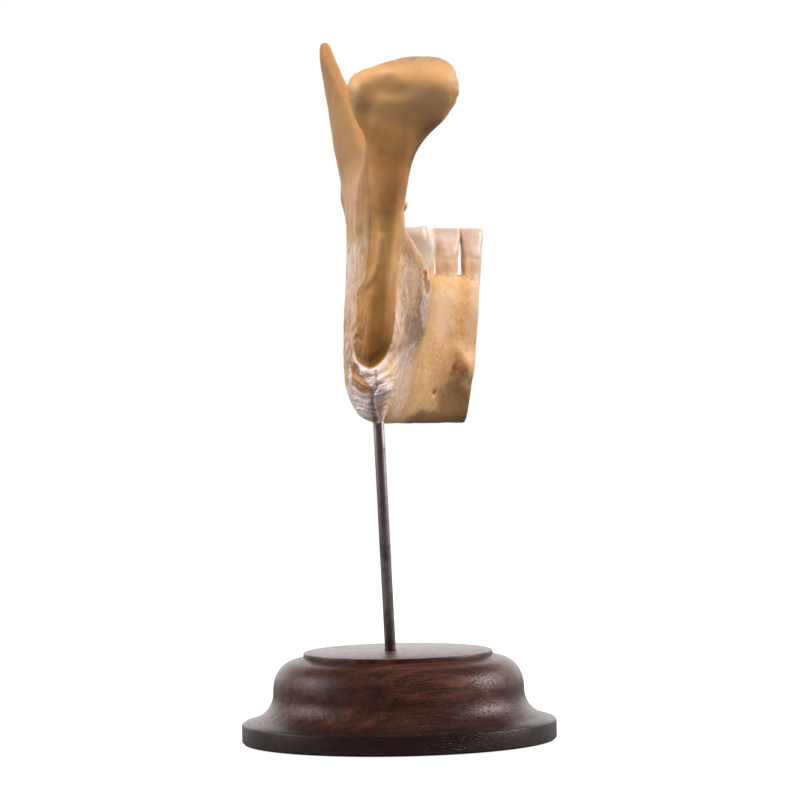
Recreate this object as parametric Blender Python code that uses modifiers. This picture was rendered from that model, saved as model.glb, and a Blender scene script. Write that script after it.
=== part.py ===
"""Left half of a human jawbone, life size, on a steel rod in a turned walnut base.

The jawbone is drawn in its own anatomical frame, in millimetres: lateral (away from the midline),
anterior (forward from the angle of the jaw) and height (above the lower border). jaw_to_world places it.
In the world +X points to the midline, +Y to the chin and +Z up, and the origin is under the base's centre.
"""

import math
from typing import NamedTuple

import bmesh
import bpy
import numpy as np
from mathutils import Euler, Matrix, Vector

MM = 0.001
GAP = 0.3  # clearance between touching pieces, in mm

# The turned base, in mm
BASE_RADIUS = 30.95
BASE_HEIGHT = 17.6
FLANGE_HEIGHT = 4.3
DISC_RADIUS = 18.6
DISC_STEP = 1.0
BEAD_RADIUS = 24.7
BEAD_FOOT = 9.8
BASE_SEGMENTS = 72

# The rod: where its axis leaves the base and where it meets the bone, in world mm
ROD_RADIUS = 1.08
ROD_FOOT = Vector((-0.97, 1.86, BASE_HEIGHT))
ROD_HEAD = Vector((-2.25, 2.78, 62.6))
ROD_SUNK_IN_BASE = 9.0
ROD_SUNK_IN_BONE = 6.0
ROD_SIDES = 24

# The jawbone's place: this point of it, in the anatomical frame, sits on the rod's head
ROD_SEAT = (44.3, 7.0, 0.8)
MOUNT_ROLL = 1.5  # degrees, the top leaning towards the midline

# The saw cut that parts the two halves, leaning a little off the midline
CUT_AT_CREST = 1.35
CUT_LEAN = 3.3  # degrees
CREST_HEIGHT = 29.6

RING_POINTS = 40
BODY_FULLNESS = 0.55
RAMUS_FULLNESS = 0.6
LOFT_STEPS = 6
VOXEL = 0.45
SMOOTH_PASSES = 12
CREASE_PASSES = 110
CREASE_PULL = 0.5  # share of the way that a hollow point moves to the middle of its neighbours
EDGE_PULL = 0.03  # and a point on an outer edge
BONE_TRIANGLES = 8600


class BodySection(NamedTuple):
    """One upright section of the body: middle of the lower border, middle of the socket rim,
    and half thicknesses at border, middle and rim, to the cheek side and to the tongue side."""

    base: tuple
    crest: tuple
    outer: tuple
    inner: tuple


BODY = {
    "past midline": BodySection((-9, 80.8, -1.4), (-9, 76.3, 29.6), (6.0, 4.2, 3.6), (5.5, 5.0, 3.6)),
    "midline": BodySection((0, 82.2, -2.0), (0, 78.4, 30.0), (6.3, 4.0, 3.6), (5.7, 5.0, 3.6)),
    "lateral incisor": BodySection((11, 79.8, -2.0), (9, 76.8, 30.0), (6.2, 4.2, 3.8), (6.0, 5.0, 3.8)),
    "canine": BodySection((20, 72.6, -1.8), (15.4, 71.6, 29.8), (6.0, 5.0, 4.4), (6.0, 4.6, 4.4)),
    "second premolar": BodySection((27, 62, -1.4), (19.8, 61.5, 29.4), (5.8, 6.0, 5.0), (5.6, 4.6, 5.0)),
    "first molar": BodySection((32.6, 48.5, -0.4), (24.2, 49, 29.2), (5.6, 7.0, 6.0), (5.2, 4.6, 5.6)),
    "second molar": BodySection((37.4, 34.5, 0.6), (28.4, 37, 29.2), (5.2, 7.2, 6.6), (5.0, 4.4, 5.6)),
    "retromolar": BodySection((41.4, 22, 1.6), (32.6, 26, 30.5), (4.8, 6.6, 5.6), (4.4, 4.2, 5.4)),
    "under the ramus": BodySection((45.0, 11, 2.0), (37.6, 18.5, 33.0), (4.0, 5.0, 4.0), (3.4, 4.2, 4.2)),
    "end": BodySection((46.4, 5, 5.0), (41.0, 13, 33.5), (2.6, 3.0, 2.6), (2.4, 3.0, 2.6)),
}


class RamusSection(NamedTuple):
    """One level section of the ramus or coronoid process: height, its back and front edges as
    (lateral, anterior), and half thicknesses at back, middle and front."""

    height: float
    back: tuple
    front: tuple
    half: tuple


RAMUS = {
    "underside": RamusSection(0.6, (45.6, 3.8), (43.0, 16), (1.2, 1.5, 1.2)),
    "low angle": RamusSection(3.0, (46.2, 0.9), (42.4, 24), (2.4, 3.0, 2.0)),
    "above the border": RamusSection(5.2, (46.9, -0.9), (41.4, 27), (3.2, 4.1, 2.6)),
    "angle": RamusSection(8.0, (47.2, -2.4), (41.0, 29), (3.7, 4.8, 3.0)),
    "above the angle": RamusSection(15.0, (47.4, -4.0), (40.6, 31), (3.7, 5.2, 3.2)),
    "lower ramus": RamusSection(24.0, (47.9, -6.0), (40.8, 31), (3.8, 4.9, 3.4)),
    "oblique line": RamusSection(32.0, (48.2, -8.6), (42.2, 28.6), (4.0, 4.2, 3.4)),
    "lingula": RamusSection(40.0, (48.3, -11.8), (43.7, 25.2), (4.3, 4.3, 3.0)),
    "under the notch": RamusSection(46.0, (48.8, -14.2), (46.0, 23.4), (4.3, 3.4, 2.4)),
    "notch": RamusSection(50.0, (49.3, -16.0), (47.4, 22.6), (3.6, 1.9, 2.2)),
}

CORONOID = {
    "root": RamusSection(44.0, (46.8, -4.0), (45.2, 23.9), (2.4, 2.8, 2.6)),
    "notch": RamusSection(50.5, (48.1, -3.5), (47.3, 22.5), (1.9, 2.4, 2.3)),
    "base": RamusSection(56.0, (48.8, 1.6), (48.6, 21.9), (1.8, 2.3, 2.1)),
    "middle": RamusSection(62.0, (49.8, 5.8), (49.6, 21.7), (1.5, 2.0, 1.8)),
    "upper": RamusSection(68.0, (51.2, 10.8), (51.2, 21.2), (1.2, 1.5, 1.5)),
    "near tip": RamusSection(72.8, (52.3, 14.4), (52.3, 20.4), (1.0, 1.3, 1.2)),
    "tip": RamusSection(75.9, (52.8, 16.4), (52.8, 18.9), (0.8, 1.0, 0.9)),
}


class StrutSection(NamedTuple):
    """One round section of the buttress that runs from the back of the tooth row up to the ramus."""

    centre: tuple
    radius: float


BUTTRESS = (
    StrutSection((30.2, 34, 22.5), 3.8),
    StrutSection((32.0, 30, 26.0), 4.2),
    StrutSection((34.4, 26, 31), 4.3),
    StrutSection((38.0, 21.5, 36.5), 4.0),
    StrutSection((41.8, 18.5, 42.5), 3.2),
    StrutSection((44.8, 17, 49.5), 2.4),
    StrutSection((46.6, 16.5, 56), 1.6),
)


class CondyleSection(NamedTuple):
    """One level section of the neck and head of the condyle: centre, half width across the jaw,
    half depth from front to back, and how far the inner end is turned back, in degrees."""

    centre: tuple
    half_width: float
    half_depth: float
    turn: float


CONDYLE = {
    "root": CondyleSection((48.3, -3.2, 38.0), 3.6, 6.6, -6.0),
    "low neck": CondyleSection((48.8, -8.4, 46.0), 4.3, 8.0, -4.0),
    "neck": CondyleSection((48.8, -13.0, 52.0), 4.8, 5.8, 0.0),
    "upper neck": CondyleSection((48.5, -16.4, 56.0), 5.9, 4.4, 6.0),
    "under the head": CondyleSection((48.1, -18.6, 59.6), 8.6, 4.0, 12.0),
    "head": CondyleSection((48.0, -20.4, 63.2), 10.5, 4.6, 16.0),
    "widest": CondyleSection((47.9, -21.2, 66.2), 10.3, 4.7, 17.0),
    "shoulder": CondyleSection((47.5, -21.5, 68.5), 9.4, 4.0, 17.0),
    "upper shoulder": CondyleSection((46.2, -21.6, 69.8), 7.6, 3.2, 17.0),
    "top": CondyleSection((45.2, -21.7, 71.0), 5.0, 2.2, 17.0),
    "crown": CondyleSection((45.0, -21.7, 71.6), 2.6, 1.0, 17.0),
}


class Touch(NamedTuple):
    """A rounded swelling or hollow: where, how far it reaches, the way that side of the bone faces,
    and how much the surface rises, or sinks where it is negative."""

    at: tuple
    reach: tuple
    facing: tuple
    rise: float


TOUCHES = {
    "chin": Touch((0, 88, 6.5), (9, 5, 7), (0, 1, -0.1), 2.6),
    "chin corner": Touch((11, 86, 2.5), (5, 5, 4), (0.3, 1, -0.4), 1.2),
    "hollow over the chin": Touch((6, 84, 20), (7, 5, 6), (0, 1, 0), -1.3),
    "genial spine": Touch((4.6, 75.5, 10.2), (1.8, 4, 2.2), (0, -1, 0.1), 1.8),
    "upper genial spine": Touch((6.4, 75.2, 13.4), (1.2, 4, 1.5), (0, -1, 0.1), 0.6),
    "genial pit": Touch((6.6, 75.0, 9.7), (1.0, 4, 1.2), (0, -1, 0), -0.7),
    "lower genial pit": Touch((3.2, 75.0, 6.4), (1.1, 4, 1.1), (0, -1, 0), -0.5),
    "side foramen": Touch((12.2, 72, 4.5), (0.55, 4, 0.8), (0, -1, 0), -1.6),
    "digastric hollow": Touch((8, 77, 3.5), (6, 5, 4.5), (-0.1, -0.8, -0.3), -1.3),
    "sublingual hollow": Touch((13, 70, 18), (6, 7, 7), (-0.5, -0.85, 0), -0.9),
    "submandibular hollow": Touch((31, 37, 13.5), (8, 15, 6), (-1, -0.2, 0), -1.6),
    "hollow behind the tooth row": Touch((33.5, 24.5, 23), (6, 3.5, 6), (-1, -0.3, 0), -1.5),
    "mental foramen": Touch((33.2, 62.5, 14.5), (3, 1.5, 1.4), (0.95, 0.2, 0.1), -3.0),
    "mandibular foramen": Touch((42.5, 2.8, 40.5), (4, 2.3, 2.8), (-1, 0, 0), -3.4),
    "lingula": Touch((42.0, 5.6, 43.7), (6, 1.0, 3.2), (-1, 0, 0), 4.6),
    "rim behind the last molar": Touch((26.8, 32.5, 29.6), (2.2, 2.6, 3.0), (-0.4, 0, 1), 3.0),
    "thick middle": Touch((42.5, 0, 41), (4, 9, 11), (-1, 0, 0), 1.1),
    "masseter field": Touch((51, 9, 14), (4, 8, 7), (1, 0, 0), 0.7),
    "angle lip": Touch((47.3, -3.4, 9.0), (5.5, 4, 2.4), (0, -1, -0.1), 1.6),
    "angle lip, cheek side": Touch((50.2, 0, 8.4), (3, 4, 2.6), (0.8, -0.6, -0.1), 1.0),
    "angle lip, tongue side": Touch((44, 0, 10.4), (3, 4, 2.8), (-0.7, -0.7, -0.1), 1.4),
    "hollow over the lip": Touch((47.3, -5, 14.6), (4, 4, 3), (0, -1, 0), -1.5),
    "hollow of the back border": Touch((48.6, -6, 20), (2.6, 4, 5.5), (0, -1, 0), -0.8),
    "antegonial notch": Touch((43, 21, 0.5), (5, 8, 4), (0, 0, -1), -1.4),
    "pterygoid fovea": Touch((44, -15, 62.5), (4, 4, 4), (0, 1, 0), -1.5),
    "outer pole": Touch((58, -18, 66.5), (2.0, 3, 2.6), (0.9, 0, 0.5), 0.9),
    "facet of the outer pole": Touch((57.6, -20.4, 64.8), (1.0, 3, 3.2), (0.5, -0.8, 0), 0.5),
    "hollow under the outer pole": Touch((55.2, -21, 61.6), (1.9, 4, 2.8), (0.3, -1, 0), -0.9),
    "saddle of the head": Touch((54.3, -24, 64.6), (1.7, 3, 1.6), (0.2, -1, 0), -0.5),
    "knob of the head": Touch((52.7, -24.5, 68.1), (1.8, 3, 1.1), (0.2, -0.9, 0.4), 0.8),
    "fold under the knob": Touch((50.8, -24, 64.6), (3.0, 3, 1.5), (0, -1, 0), -0.8),
    "swell of the head": Touch((43.6, -26, 65.4), (6.5, 4, 4.2), (0, -1, 0.15), 1.3),
    "fold under the swell": Touch((44.0, -22, 58.6), (6, 4, 2.4), (0, -1, -0.2), -0.6),
    "wisdom tooth socket": Touch((30.0, 31.0, 31.5), (2.6, 3.4, 3), (-0.2, 0, 1), -2.2),
}


class Ridge(NamedTuple):
    """A raised line along the bone: its points, how wide it is, the way it faces and its rise."""

    points: tuple
    width: float
    facing: tuple
    rise: float


RIDGES = {
    "everted border": Ridge(
        ((47.3, -4.4, 9.5), (46.8, -2.4, 5.5), (45.8, 2.0, 1.6)), 3.0, (0, -0.8, -0.6), 1.2
    ),
    "mylohyoid line": Ridge(
        ((28.6, 27, 25.5), (27, 35, 22.5), (23, 47, 18.5), (16, 60, 14)), 2.0, (-1, -0.3, 0), 0.8
    ),
    "oblique line": Ridge(
        ((48, 24, 44), (47.5, 29, 32), (44, 37, 25), (40, 47, 20), (37, 55, 15)), 2.8, (1, 0.3, 0), 1.3
    ),
    "temporal crest": Ridge(
        ((46, 19, 58), (42.5, 19.5, 46), (38, 20, 38), (31, 25, 32)), 1.9, (-1, 0, 0.2), 1.3
    ),
    "ridge under the condyle": Ridge(
        ((42, -19, 62), (45, -10, 53), (44, 0, 46), (43, 7, 42)), 2.6, (-1, 0, 0), 0.9
    ),
    "mylohyoid groove": Ridge(
        ((42.5, 3.5, 39), (41.5, 8, 33), (39.5, 13, 26), (37, 19, 20)), 1.0, (-1, 0, 0), -0.9
    ),
}


# The back of the jaw, drawn as it is seen from behind and turned to the cheek side by BACK_TURN:
# how far across from BACK_MIDDLE, and the height, in mm
BACK_TURN = 17.0
BACK_MIDDLE = (42.05, 4.2)
BACK_ROLL = 0.026
SMOOTH_BORDER = (
    (-4.0, 58), (-3.75, 50), (-3.7, 43), (-3.85, 37.4), (-4.4, 32.2), (-5.0, 28.4),
    (-6.3, 26.6), (-6.7, 22), (-6.8, 18.8), (-7.2, 16), (-7.0, 13.4), (-5.6, 12.0),
    (-4.2, 11.5), (-2.8, 12.3), (-1.5, 13.7), (-0.6, 15.6), (0.1, 17.8), (0.5, 20.8),
    (0.9, 24.7), (1.4, 27.6), (2.2, 32), (2.8, 36.3), (3.4, 42), (4.2, 50),
    (6.0, 58),
)


class EdgeMark(NamedTuple):
    """A line that follows the smooth border's outline: how far inside it, how wide, and its rise."""

    inside: float
    width: float
    rise: float


class BackLine(NamedTuple):
    """A raised line drawn on the back of the jaw: its points as (across, height), width and rise."""

    points: tuple
    width: float
    rise: float


BACK_LINES = (
    BackLine(((-1.5, 37), (-1.9, 34.2), (-2.5, 31.8), (-3.5, 29.6), (-4.7, 28), (-6.3, 26.6)), 0.75, 0.45),
    BackLine(((-5.4, 10.9), (-3.3, 10.5), (-1.4, 11.9), (0.1, 14.4), (1.0, 17.4), (1.5, 20.5)), 0.6, 0.5),
)
BORDER_EDGE = (EdgeMark(-0.5, 0.55, 0.38), EdgeMark(0.9, 1.0, -0.30))
BORDER_TOP = 46.0  # the edge fades out below this height, within BORDER_FADE
BORDER_FADE = 10.0
LIP_POCKET = EdgeMark(1.0, 1.5, 1.0)  # pushed forward, where the border dives under the lip
LIP_TOP = 17.0
LIP_FADE = 3.5
MARK_STEPS = 4


class Tooth(NamedTuple):
    """A tooth: its kind, middle of its crown as (lateral, anterior), width along the arch, depth
    across it, and how far its outward side is turned from straight ahead, in degrees."""

    kind: str
    middle: tuple
    width: float
    depth: float
    turn: float


TEETH = {
    "central incisor": Tooth("incisor", (2.35, 78.5), 5.2, 5.6, -6.0),
    "lateral incisor": Tooth("incisor", (8.1, 77.7), 5.9, 5.8, -5.0),
    "canine": Tooth("canine", (14.9, 74.2), 6.3, 6.8, 26.0),
    "first premolar": Tooth("premolar", (18.3, 68.0), 6.9, 7.4, 60.0),
    "second premolar": Tooth("premolar", (21.0, 61.0), 7.1, 8.0, 70.0),
    "first molar": Tooth("molar", (24.8, 51.5), 11.0, 10.2, 72.0),
    "second molar": Tooth("molar", (28.2, 40.5), 10.6, 9.8, 74.0),
}

# Level rings of each kind of tooth from root to biting edge: height, shares of the width and depth,
# and how far the ring is moved outward, as a share of the depth
TOOTH_PROFILES = {
    "incisor": (
        (24.0, 0.6, 0.8, 0.0),
        (30.0, 0.79, 0.95, 0.0),
        (33.8, 0.84, 1.0, -0.01),
        (35.2, 0.88, 0.92, 0.01),
        (36.6, 0.94, 0.78, 0.05),
        (37.4, 1.0, 0.68, 0.08),
        (38.6, 1.0, 0.57, 0.1),
        (39.4, 0.97, 0.54, 0.11),
    ),
    "canine": (
        (24.0, 0.6, 0.8, 0.0),
        (30.0, 0.76, 0.94, 0.0),
        (33.8, 0.84, 0.98, -0.01),
        (35.4, 0.92, 0.92, 0.0),
        (37.0, 1.0, 0.82, 0.03),
        (38.3, 0.98, 0.7, 0.05),
        (39.0, 0.94, 0.64, 0.06),
    ),
    "premolar": (
        (24.0, 0.6, 0.66, 0.0),
        (30.0, 0.72, 0.84, 0.0),
        (33.4, 0.88, 0.96, 0.0),
        (35.2, 0.98, 1.0, 0.0),
        (37.0, 1.0, 0.97, 0.0),
        (38.4, 0.97, 0.88, 0.0),
        (39.2, 0.9, 0.8, 0.0),
    ),
    "molar": (
        (24.0, 0.76, 0.72, 0.0),
        (30.0, 0.85, 0.84, 0.0),
        (33.4, 0.93, 0.95, 0.0),
        (35.2, 0.99, 1.0, 0.0),
        (37.0, 1.0, 0.98, 0.0),
        (38.2, 0.97, 0.92, 0.0),
        (39.0, 0.91, 0.86, 0.0),
    ),
}
TOOTH_POINTS = 14
TOOTH_SQUARENESS = 0.8

BONE_COLOUR = (0.66, 0.45, 0.25, 1.0)
WALNUT_COLOUR = (0.10, 0.045, 0.025, 1.0)
STEEL_COLOUR = (0.42, 0.41, 0.40, 1.0)


def catmull_rom(rows, steps):
    """Rows of numbers thickened along a smooth curve through them."""
    rows = np.asarray(rows, float)
    padded = np.vstack([2 * rows[0] - rows[1], rows, 2 * rows[-1] - rows[-2]])
    made = []
    for i in range(1, len(padded) - 2):
        before, start, end, after = padded[i - 1 : i + 3]
        for t in np.linspace(0, 1, steps, endpoint=False):
            made.append(
                start
                + 0.5 * t * (end - before)
                + t * t * (before - 2.5 * start + 2 * end - 0.5 * after)
                + t**3 * (1.5 * (start - end) + 0.5 * (after - before))
            )
    made.append(rows[-1])
    return np.array(made)


def three_point(values, v):
    """The parabola through three values, at 0, a half and 1."""
    first, middle, last = values
    return first * (1 - v) * (1 - 2 * v) + 4 * middle * v * (1 - v) + last * v * (2 * v - 1)


def ring_angles(count=RING_POINTS):
    return np.linspace(0, 2 * math.pi, count, endpoint=False)


def rounded(angle, fullness):
    """A sine with fuller shoulders, so that a section is more oblong than oval."""
    return np.sign(np.sin(angle)) * np.abs(np.sin(angle)) ** fullness


def body_rings():
    rows = [s.base + s.crest + s.outer + s.inner for s in BODY.values()]
    rows = catmull_rom(rows, LOFT_STEPS)
    middles = (rows[:, 0:2] + rows[:, 3:5]) / 2
    along = np.gradient(middles, axis=0)
    along /= np.linalg.norm(along, axis=1)[:, None]
    angle = ring_angles()
    up = (1 - np.cos(angle)) / 2
    side = rounded(angle, BODY_FULLNESS)
    rings = []
    for row, (lateral, anterior) in zip(rows, along):
        outward = np.array([-anterior, lateral, 0.0])
        base, crest = row[0:3], row[3:6]
        outer, inner = three_point(row[6:9], up), three_point(row[9:12], up)
        half = np.where(side > 0, outer, inner) * side
        rings.append(base + np.outer(up, crest - base) + np.outer(half, outward))
    return rings


def level_rings(sections):
    rows = [(s.height,) + s.back + s.front + s.half for s in sections.values()]
    angle = ring_angles()
    forward = (1 - np.cos(angle)) / 2
    rings = []
    for row in catmull_rom(rows, LOFT_STEPS):
        back, front = np.append(row[1:3], row[0]), np.append(row[3:5], row[0])
        run = (front - back) / np.linalg.norm(front - back)
        outward = np.array([run[1], -run[0], 0.0])
        half = three_point(row[5:8], forward) * rounded(angle, RAMUS_FULLNESS)
        rings.append(back + np.outer(forward, front - back) + np.outer(half, outward))
    return rings


def buttress_rings():
    """Rings square to the line through the buttress's centres."""
    rows = catmull_rom([s.centre + (s.radius,) for s in BUTTRESS], LOFT_STEPS)
    along = np.gradient(rows[:, 0:3], axis=0)
    angle = ring_angles()
    rings = []
    for row, run in zip(rows, along):
        across = np.cross(run, (0.0, 0.0, 1.0))
        across /= np.linalg.norm(across)
        upwards = np.cross(across, run)
        upwards /= np.linalg.norm(upwards)
        rings.append(row[0:3] + row[3] * (np.outer(np.cos(angle), across) + np.outer(np.sin(angle), upwards)))
    return rings


def condyle_rings():
    rows = [s.centre + (s.half_width, s.half_depth, s.turn) for s in CONDYLE.values()]
    angle = ring_angles()
    rings = []
    for row in catmull_rom(rows, LOFT_STEPS):
        turn = math.radians(row[5])
        across = np.array([math.cos(turn), math.sin(turn), 0.0])
        forward = np.array([-math.sin(turn), math.cos(turn), 0.0])
        wide = np.outer(row[3] * np.cos(angle), across)
        deep = np.outer(row[4] * np.sin(angle), forward)
        rings.append(row[0:3] + wide + deep)
    return rings


def anatomical(point):
    """A point given as lateral, anterior and height in mm, in the jaw's own axes in metres."""
    return Vector((-point[0] * MM, point[1] * MM, point[2] * MM))


def loft_mesh(name, rings):
    """A closed mesh through a row of rings, with a cap at each end."""
    bm = bmesh.new()
    loops = [[bm.verts.new(anatomical(p)) for p in ring] for ring in rings]
    for lower, upper in zip(loops, loops[1:]):
        for i in range(len(lower)):
            j = (i + 1) % len(lower)
            bm.faces.new((lower[i], lower[j], upper[j], upper[i]))
    bm.faces.new(loops[0])
    bm.faces.new(loops[-1])
    bmesh.ops.recalc_face_normals(bm, faces=bm.faces)
    mesh = bpy.data.meshes.new(name)
    bm.to_mesh(mesh)
    bm.free()
    return mesh


def apply_modifiers(obj):
    """Gives obj the mesh that its modifiers make, and clears them."""
    graph = bpy.context.evaluated_depsgraph_get()
    made = bpy.data.meshes.new_from_object(obj.evaluated_get(graph))
    obj.modifiers.clear()
    obj.data = made


def join_forms(name, meshes, collection):
    """One object that holds several closed forms."""
    bm = bmesh.new()
    for mesh in meshes:
        bm.from_mesh(mesh)
        bpy.data.meshes.remove(mesh)
    mesh = bpy.data.meshes.new(name)
    bm.to_mesh(mesh)
    bm.free()
    obj = bpy.data.objects.new(name, mesh)
    collection.objects.link(obj)
    return obj


def merge_forms(obj):
    """The overlapping forms fused by voxels into one skin, and smoothed where they met."""
    fuse = obj.modifiers.new("Fuse", "REMESH")
    fuse.mode = "VOXEL"
    fuse.voxel_size = VOXEL * MM
    blend = obj.modifiers.new("Blend", "SMOOTH")
    blend.factor = 0.5
    blend.iterations = SMOOTH_PASSES
    apply_modifiers(obj)
    fill_creases(obj.data)


def read_mesh(mesh):
    """Vertices as lateral, anterior, height in mm, and their normals in the same axes."""
    count = len(mesh.vertices)
    points, normals = np.empty(count * 3), np.empty(count * 3)
    mesh.vertices.foreach_get("co", points)
    mesh.vertex_normals.foreach_get("vector", normals)
    turn = np.array([-1.0, 1.0, 1.0])
    return points.reshape(-1, 3) * turn / MM, normals.reshape(-1, 3) * turn


def write_mesh(mesh, points):
    mesh.vertices.foreach_set("co", (points * np.array([-MM, MM, MM])).ravel())
    mesh.update()


def unit(vector):
    return np.asarray(vector, float) / np.linalg.norm(vector)


def distance_to_line(points, line):
    """The distance from each point to a line through a few points."""
    nearest = np.full(len(points), np.inf)
    for start, end in zip(line, line[1:]):
        start, run = np.asarray(start, float), np.subtract(end, start).astype(float)
        share = np.clip((points - start) @ run / (run @ run), 0, 1)
        gap = np.linalg.norm(points - start - np.outer(share, run), axis=1)
        nearest = np.minimum(nearest, gap)
    return nearest


def fill_creases(mesh):
    """Rounds the hollow creases between the forms and leaves the outer edges nearly as they are."""
    points, _ = read_mesh(mesh)
    ends = np.empty(len(mesh.edges) * 2, int)
    mesh.edges.foreach_get("vertices", ends)
    ends = ends.reshape(-1, 2)
    here, there = np.concatenate([ends[:, 0], ends[:, 1]]), np.concatenate([ends[:, 1], ends[:, 0]])
    neighbours = np.bincount(here, minlength=len(points))[:, None]
    for _ in range(CREASE_PASSES):
        total = np.stack([np.bincount(here, points[there, k], len(points)) for k in range(3)], axis=1)
        pull = total / neighbours - points
        _, normals = read_mesh(mesh)
        hollow = (pull * normals).sum(axis=1) > 0
        points = points + pull * np.where(hollow, CREASE_PULL, EDGE_PULL)[:, None]
        write_mesh(mesh, points)


def shape_relief(mesh):
    """The hollows, swellings and lines that muscles, nerves and vessels leave on the bone."""
    for touch in TOUCHES.values():
        points, normals = read_mesh(mesh)
        facing = unit(touch.facing)
        apart = (points - np.array(touch.at)) / np.array(touch.reach)
        share = np.exp(-(apart**2).sum(axis=1)) * np.clip(normals @ facing, 0, 1)
        write_mesh(mesh, points + np.outer(share * touch.rise, facing))
    for ridge in RIDGES.values():
        points, normals = read_mesh(mesh)
        facing = unit(ridge.facing)
        line = catmull_rom(ridge.points, LOFT_STEPS)
        share = np.exp(-((distance_to_line(points, line) / ridge.width) ** 2))
        share = share * np.clip(normals @ facing, 0, 1)
        write_mesh(mesh, points + np.outer(share * ridge.rise, facing))


def smooth_step(values, low, high):
    share = np.clip((values - low) / (high - low), 0, 1)
    return share * share * (3 - 2 * share)


def seen_from_behind(points, normals):
    """Each point as (across, height), and how far it belongs to the back of the ramus."""
    lateral, anterior, height = points.T
    turn = math.radians(BACK_TURN)
    aside = BACK_MIDDLE[0] - lateral + BACK_ROLL * height
    across = aside * math.cos(turn) - (anterior - BACK_MIDDLE[1]) * math.sin(turn)
    facing = np.clip(3 * (normals @ unit((0.15, -1, 0))), 0, 1)
    return np.stack([across, height], axis=1), facing * smooth_step(14 - anterior, 0, 5)


def inside_outline(places, outline):
    """Which places on a plane lie inside a closed outline."""
    inside = np.zeros(len(places), bool)
    for start, end in zip(outline, np.roll(outline, -1, axis=0)):
        crosses = (start[1] > places[:, 1]) != (end[1] > places[:, 1])
        rise = end[1] - start[1]
        slope = (end[0] - start[0]) / (rise if abs(rise) > 1e-9 else 1e-9)
        inside ^= crosses & (places[:, 0] < start[0] + slope * (places[:, 1] - start[1]))
    return inside


def shape_back(mesh):
    """The smooth back border with a crisp edge on each side, which dives under the lip of the angle."""
    points, normals = read_mesh(mesh)
    places, back = seen_from_behind(points, normals)
    outline = catmull_rom(SMOOTH_BORDER, MARK_STEPS)
    depth = distance_to_line(places, np.vstack([outline, outline[:1]]))
    depth = np.where(inside_outline(places, outline), depth, -depth)
    height = places[:, 1]
    rise = 0.0
    for mark in BORDER_EDGE:
        rise = rise + mark.rise * np.exp(-(((depth - mark.inside) / mark.width) ** 2))
    rise = rise * smooth_step(BORDER_TOP - height, 0, BORDER_FADE)
    for line in BACK_LINES:
        apart = distance_to_line(places, catmull_rom(line.points, MARK_STEPS))
        rise = rise + line.rise * np.exp(-((apart / line.width) ** 2))
    under = np.exp(-(((depth - LIP_POCKET.inside) / LIP_POCKET.width) ** 2))
    under = under * LIP_POCKET.rise * smooth_step(LIP_TOP - height, 0, LIP_FADE)
    write_mesh(mesh, points + normals * (rise * back)[:, None] + np.outer(under * back, (0, 1, 0)))


def thin_out(obj, triangles):
    """Fewer triangles, most of them kept where the bone curves tightly."""
    bm = bmesh.new()
    bm.from_mesh(obj.data)
    bmesh.ops.triangulate(bm, faces=bm.faces)
    count = len(bm.faces)
    bm.to_mesh(obj.data)
    bm.free()
    decimate = obj.modifiers.new("Thin", "DECIMATE")
    decimate.ratio = triangles / count
    apply_modifiers(obj)


def cut_at_midline(obj):
    """Saws the bone through, a little off the midline, and closes the cut with a flat face."""
    lean = math.radians(CUT_LEAN)
    plane_point = anatomical((CUT_AT_CREST, 0, CREST_HEIGHT))
    plane_normal = Vector((math.cos(lean), 0, -math.sin(lean)))
    bm = bmesh.new()
    bm.from_mesh(obj.data)
    everything = bm.verts[:] + bm.edges[:] + bm.faces[:]
    bmesh.ops.bisect_plane(
        bm,
        geom=everything,
        dist=1e-7,
        plane_co=plane_point,
        plane_no=plane_normal,
        clear_outer=True,
    )
    rim = [e for e in bm.edges if e.is_boundary]
    bmesh.ops.contextual_create(bm, geom=rim)
    bmesh.ops.triangulate(bm, faces=bm.faces)
    bmesh.ops.recalc_face_normals(bm, faces=bm.faces)
    bm.to_mesh(obj.data)
    bm.free()


def tooth_rings(tooth):
    """Level rings from the root's end to the flat, worn top of the crown."""
    turn = math.radians(tooth.turn)
    outward = np.array([math.sin(turn), math.cos(turn), 0.0])
    along = np.array([math.cos(turn), -math.sin(turn), 0.0])
    angle = ring_angles(TOOTH_POINTS)
    wide = rounded(angle + math.pi / 2, TOOTH_SQUARENESS) * tooth.width / 2
    deep = rounded(angle, TOOTH_SQUARENESS) * tooth.depth / 2
    rings = []
    for height, width_share, depth_share, shift in TOOTH_PROFILES[tooth.kind]:
        centre = np.array(tooth.middle + (height,)) + outward * shift * tooth.depth
        rings.append(centre + np.outer(wide * width_share, along) + np.outer(deep * depth_share, outward))
    return rings


def fuse_teeth(bone):
    """Joins every tooth to the bone with one Boolean union."""
    teeth = bpy.data.collections.new("Teeth to join")
    bpy.context.scene.collection.children.link(teeth)
    for name, tooth in TEETH.items():
        mesh = loft_mesh(name, tooth_rings(tooth))
        teeth.objects.link(bpy.data.objects.new(name, mesh))
    union = bone.modifiers.new("Teeth", "BOOLEAN")
    union.operation = "UNION"
    union.operand_type = "COLLECTION"
    union.collection = teeth
    apply_modifiers(bone)
    for obj in list(teeth.objects):
        bpy.data.objects.remove(obj)
    bpy.data.collections.remove(teeth)


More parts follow.
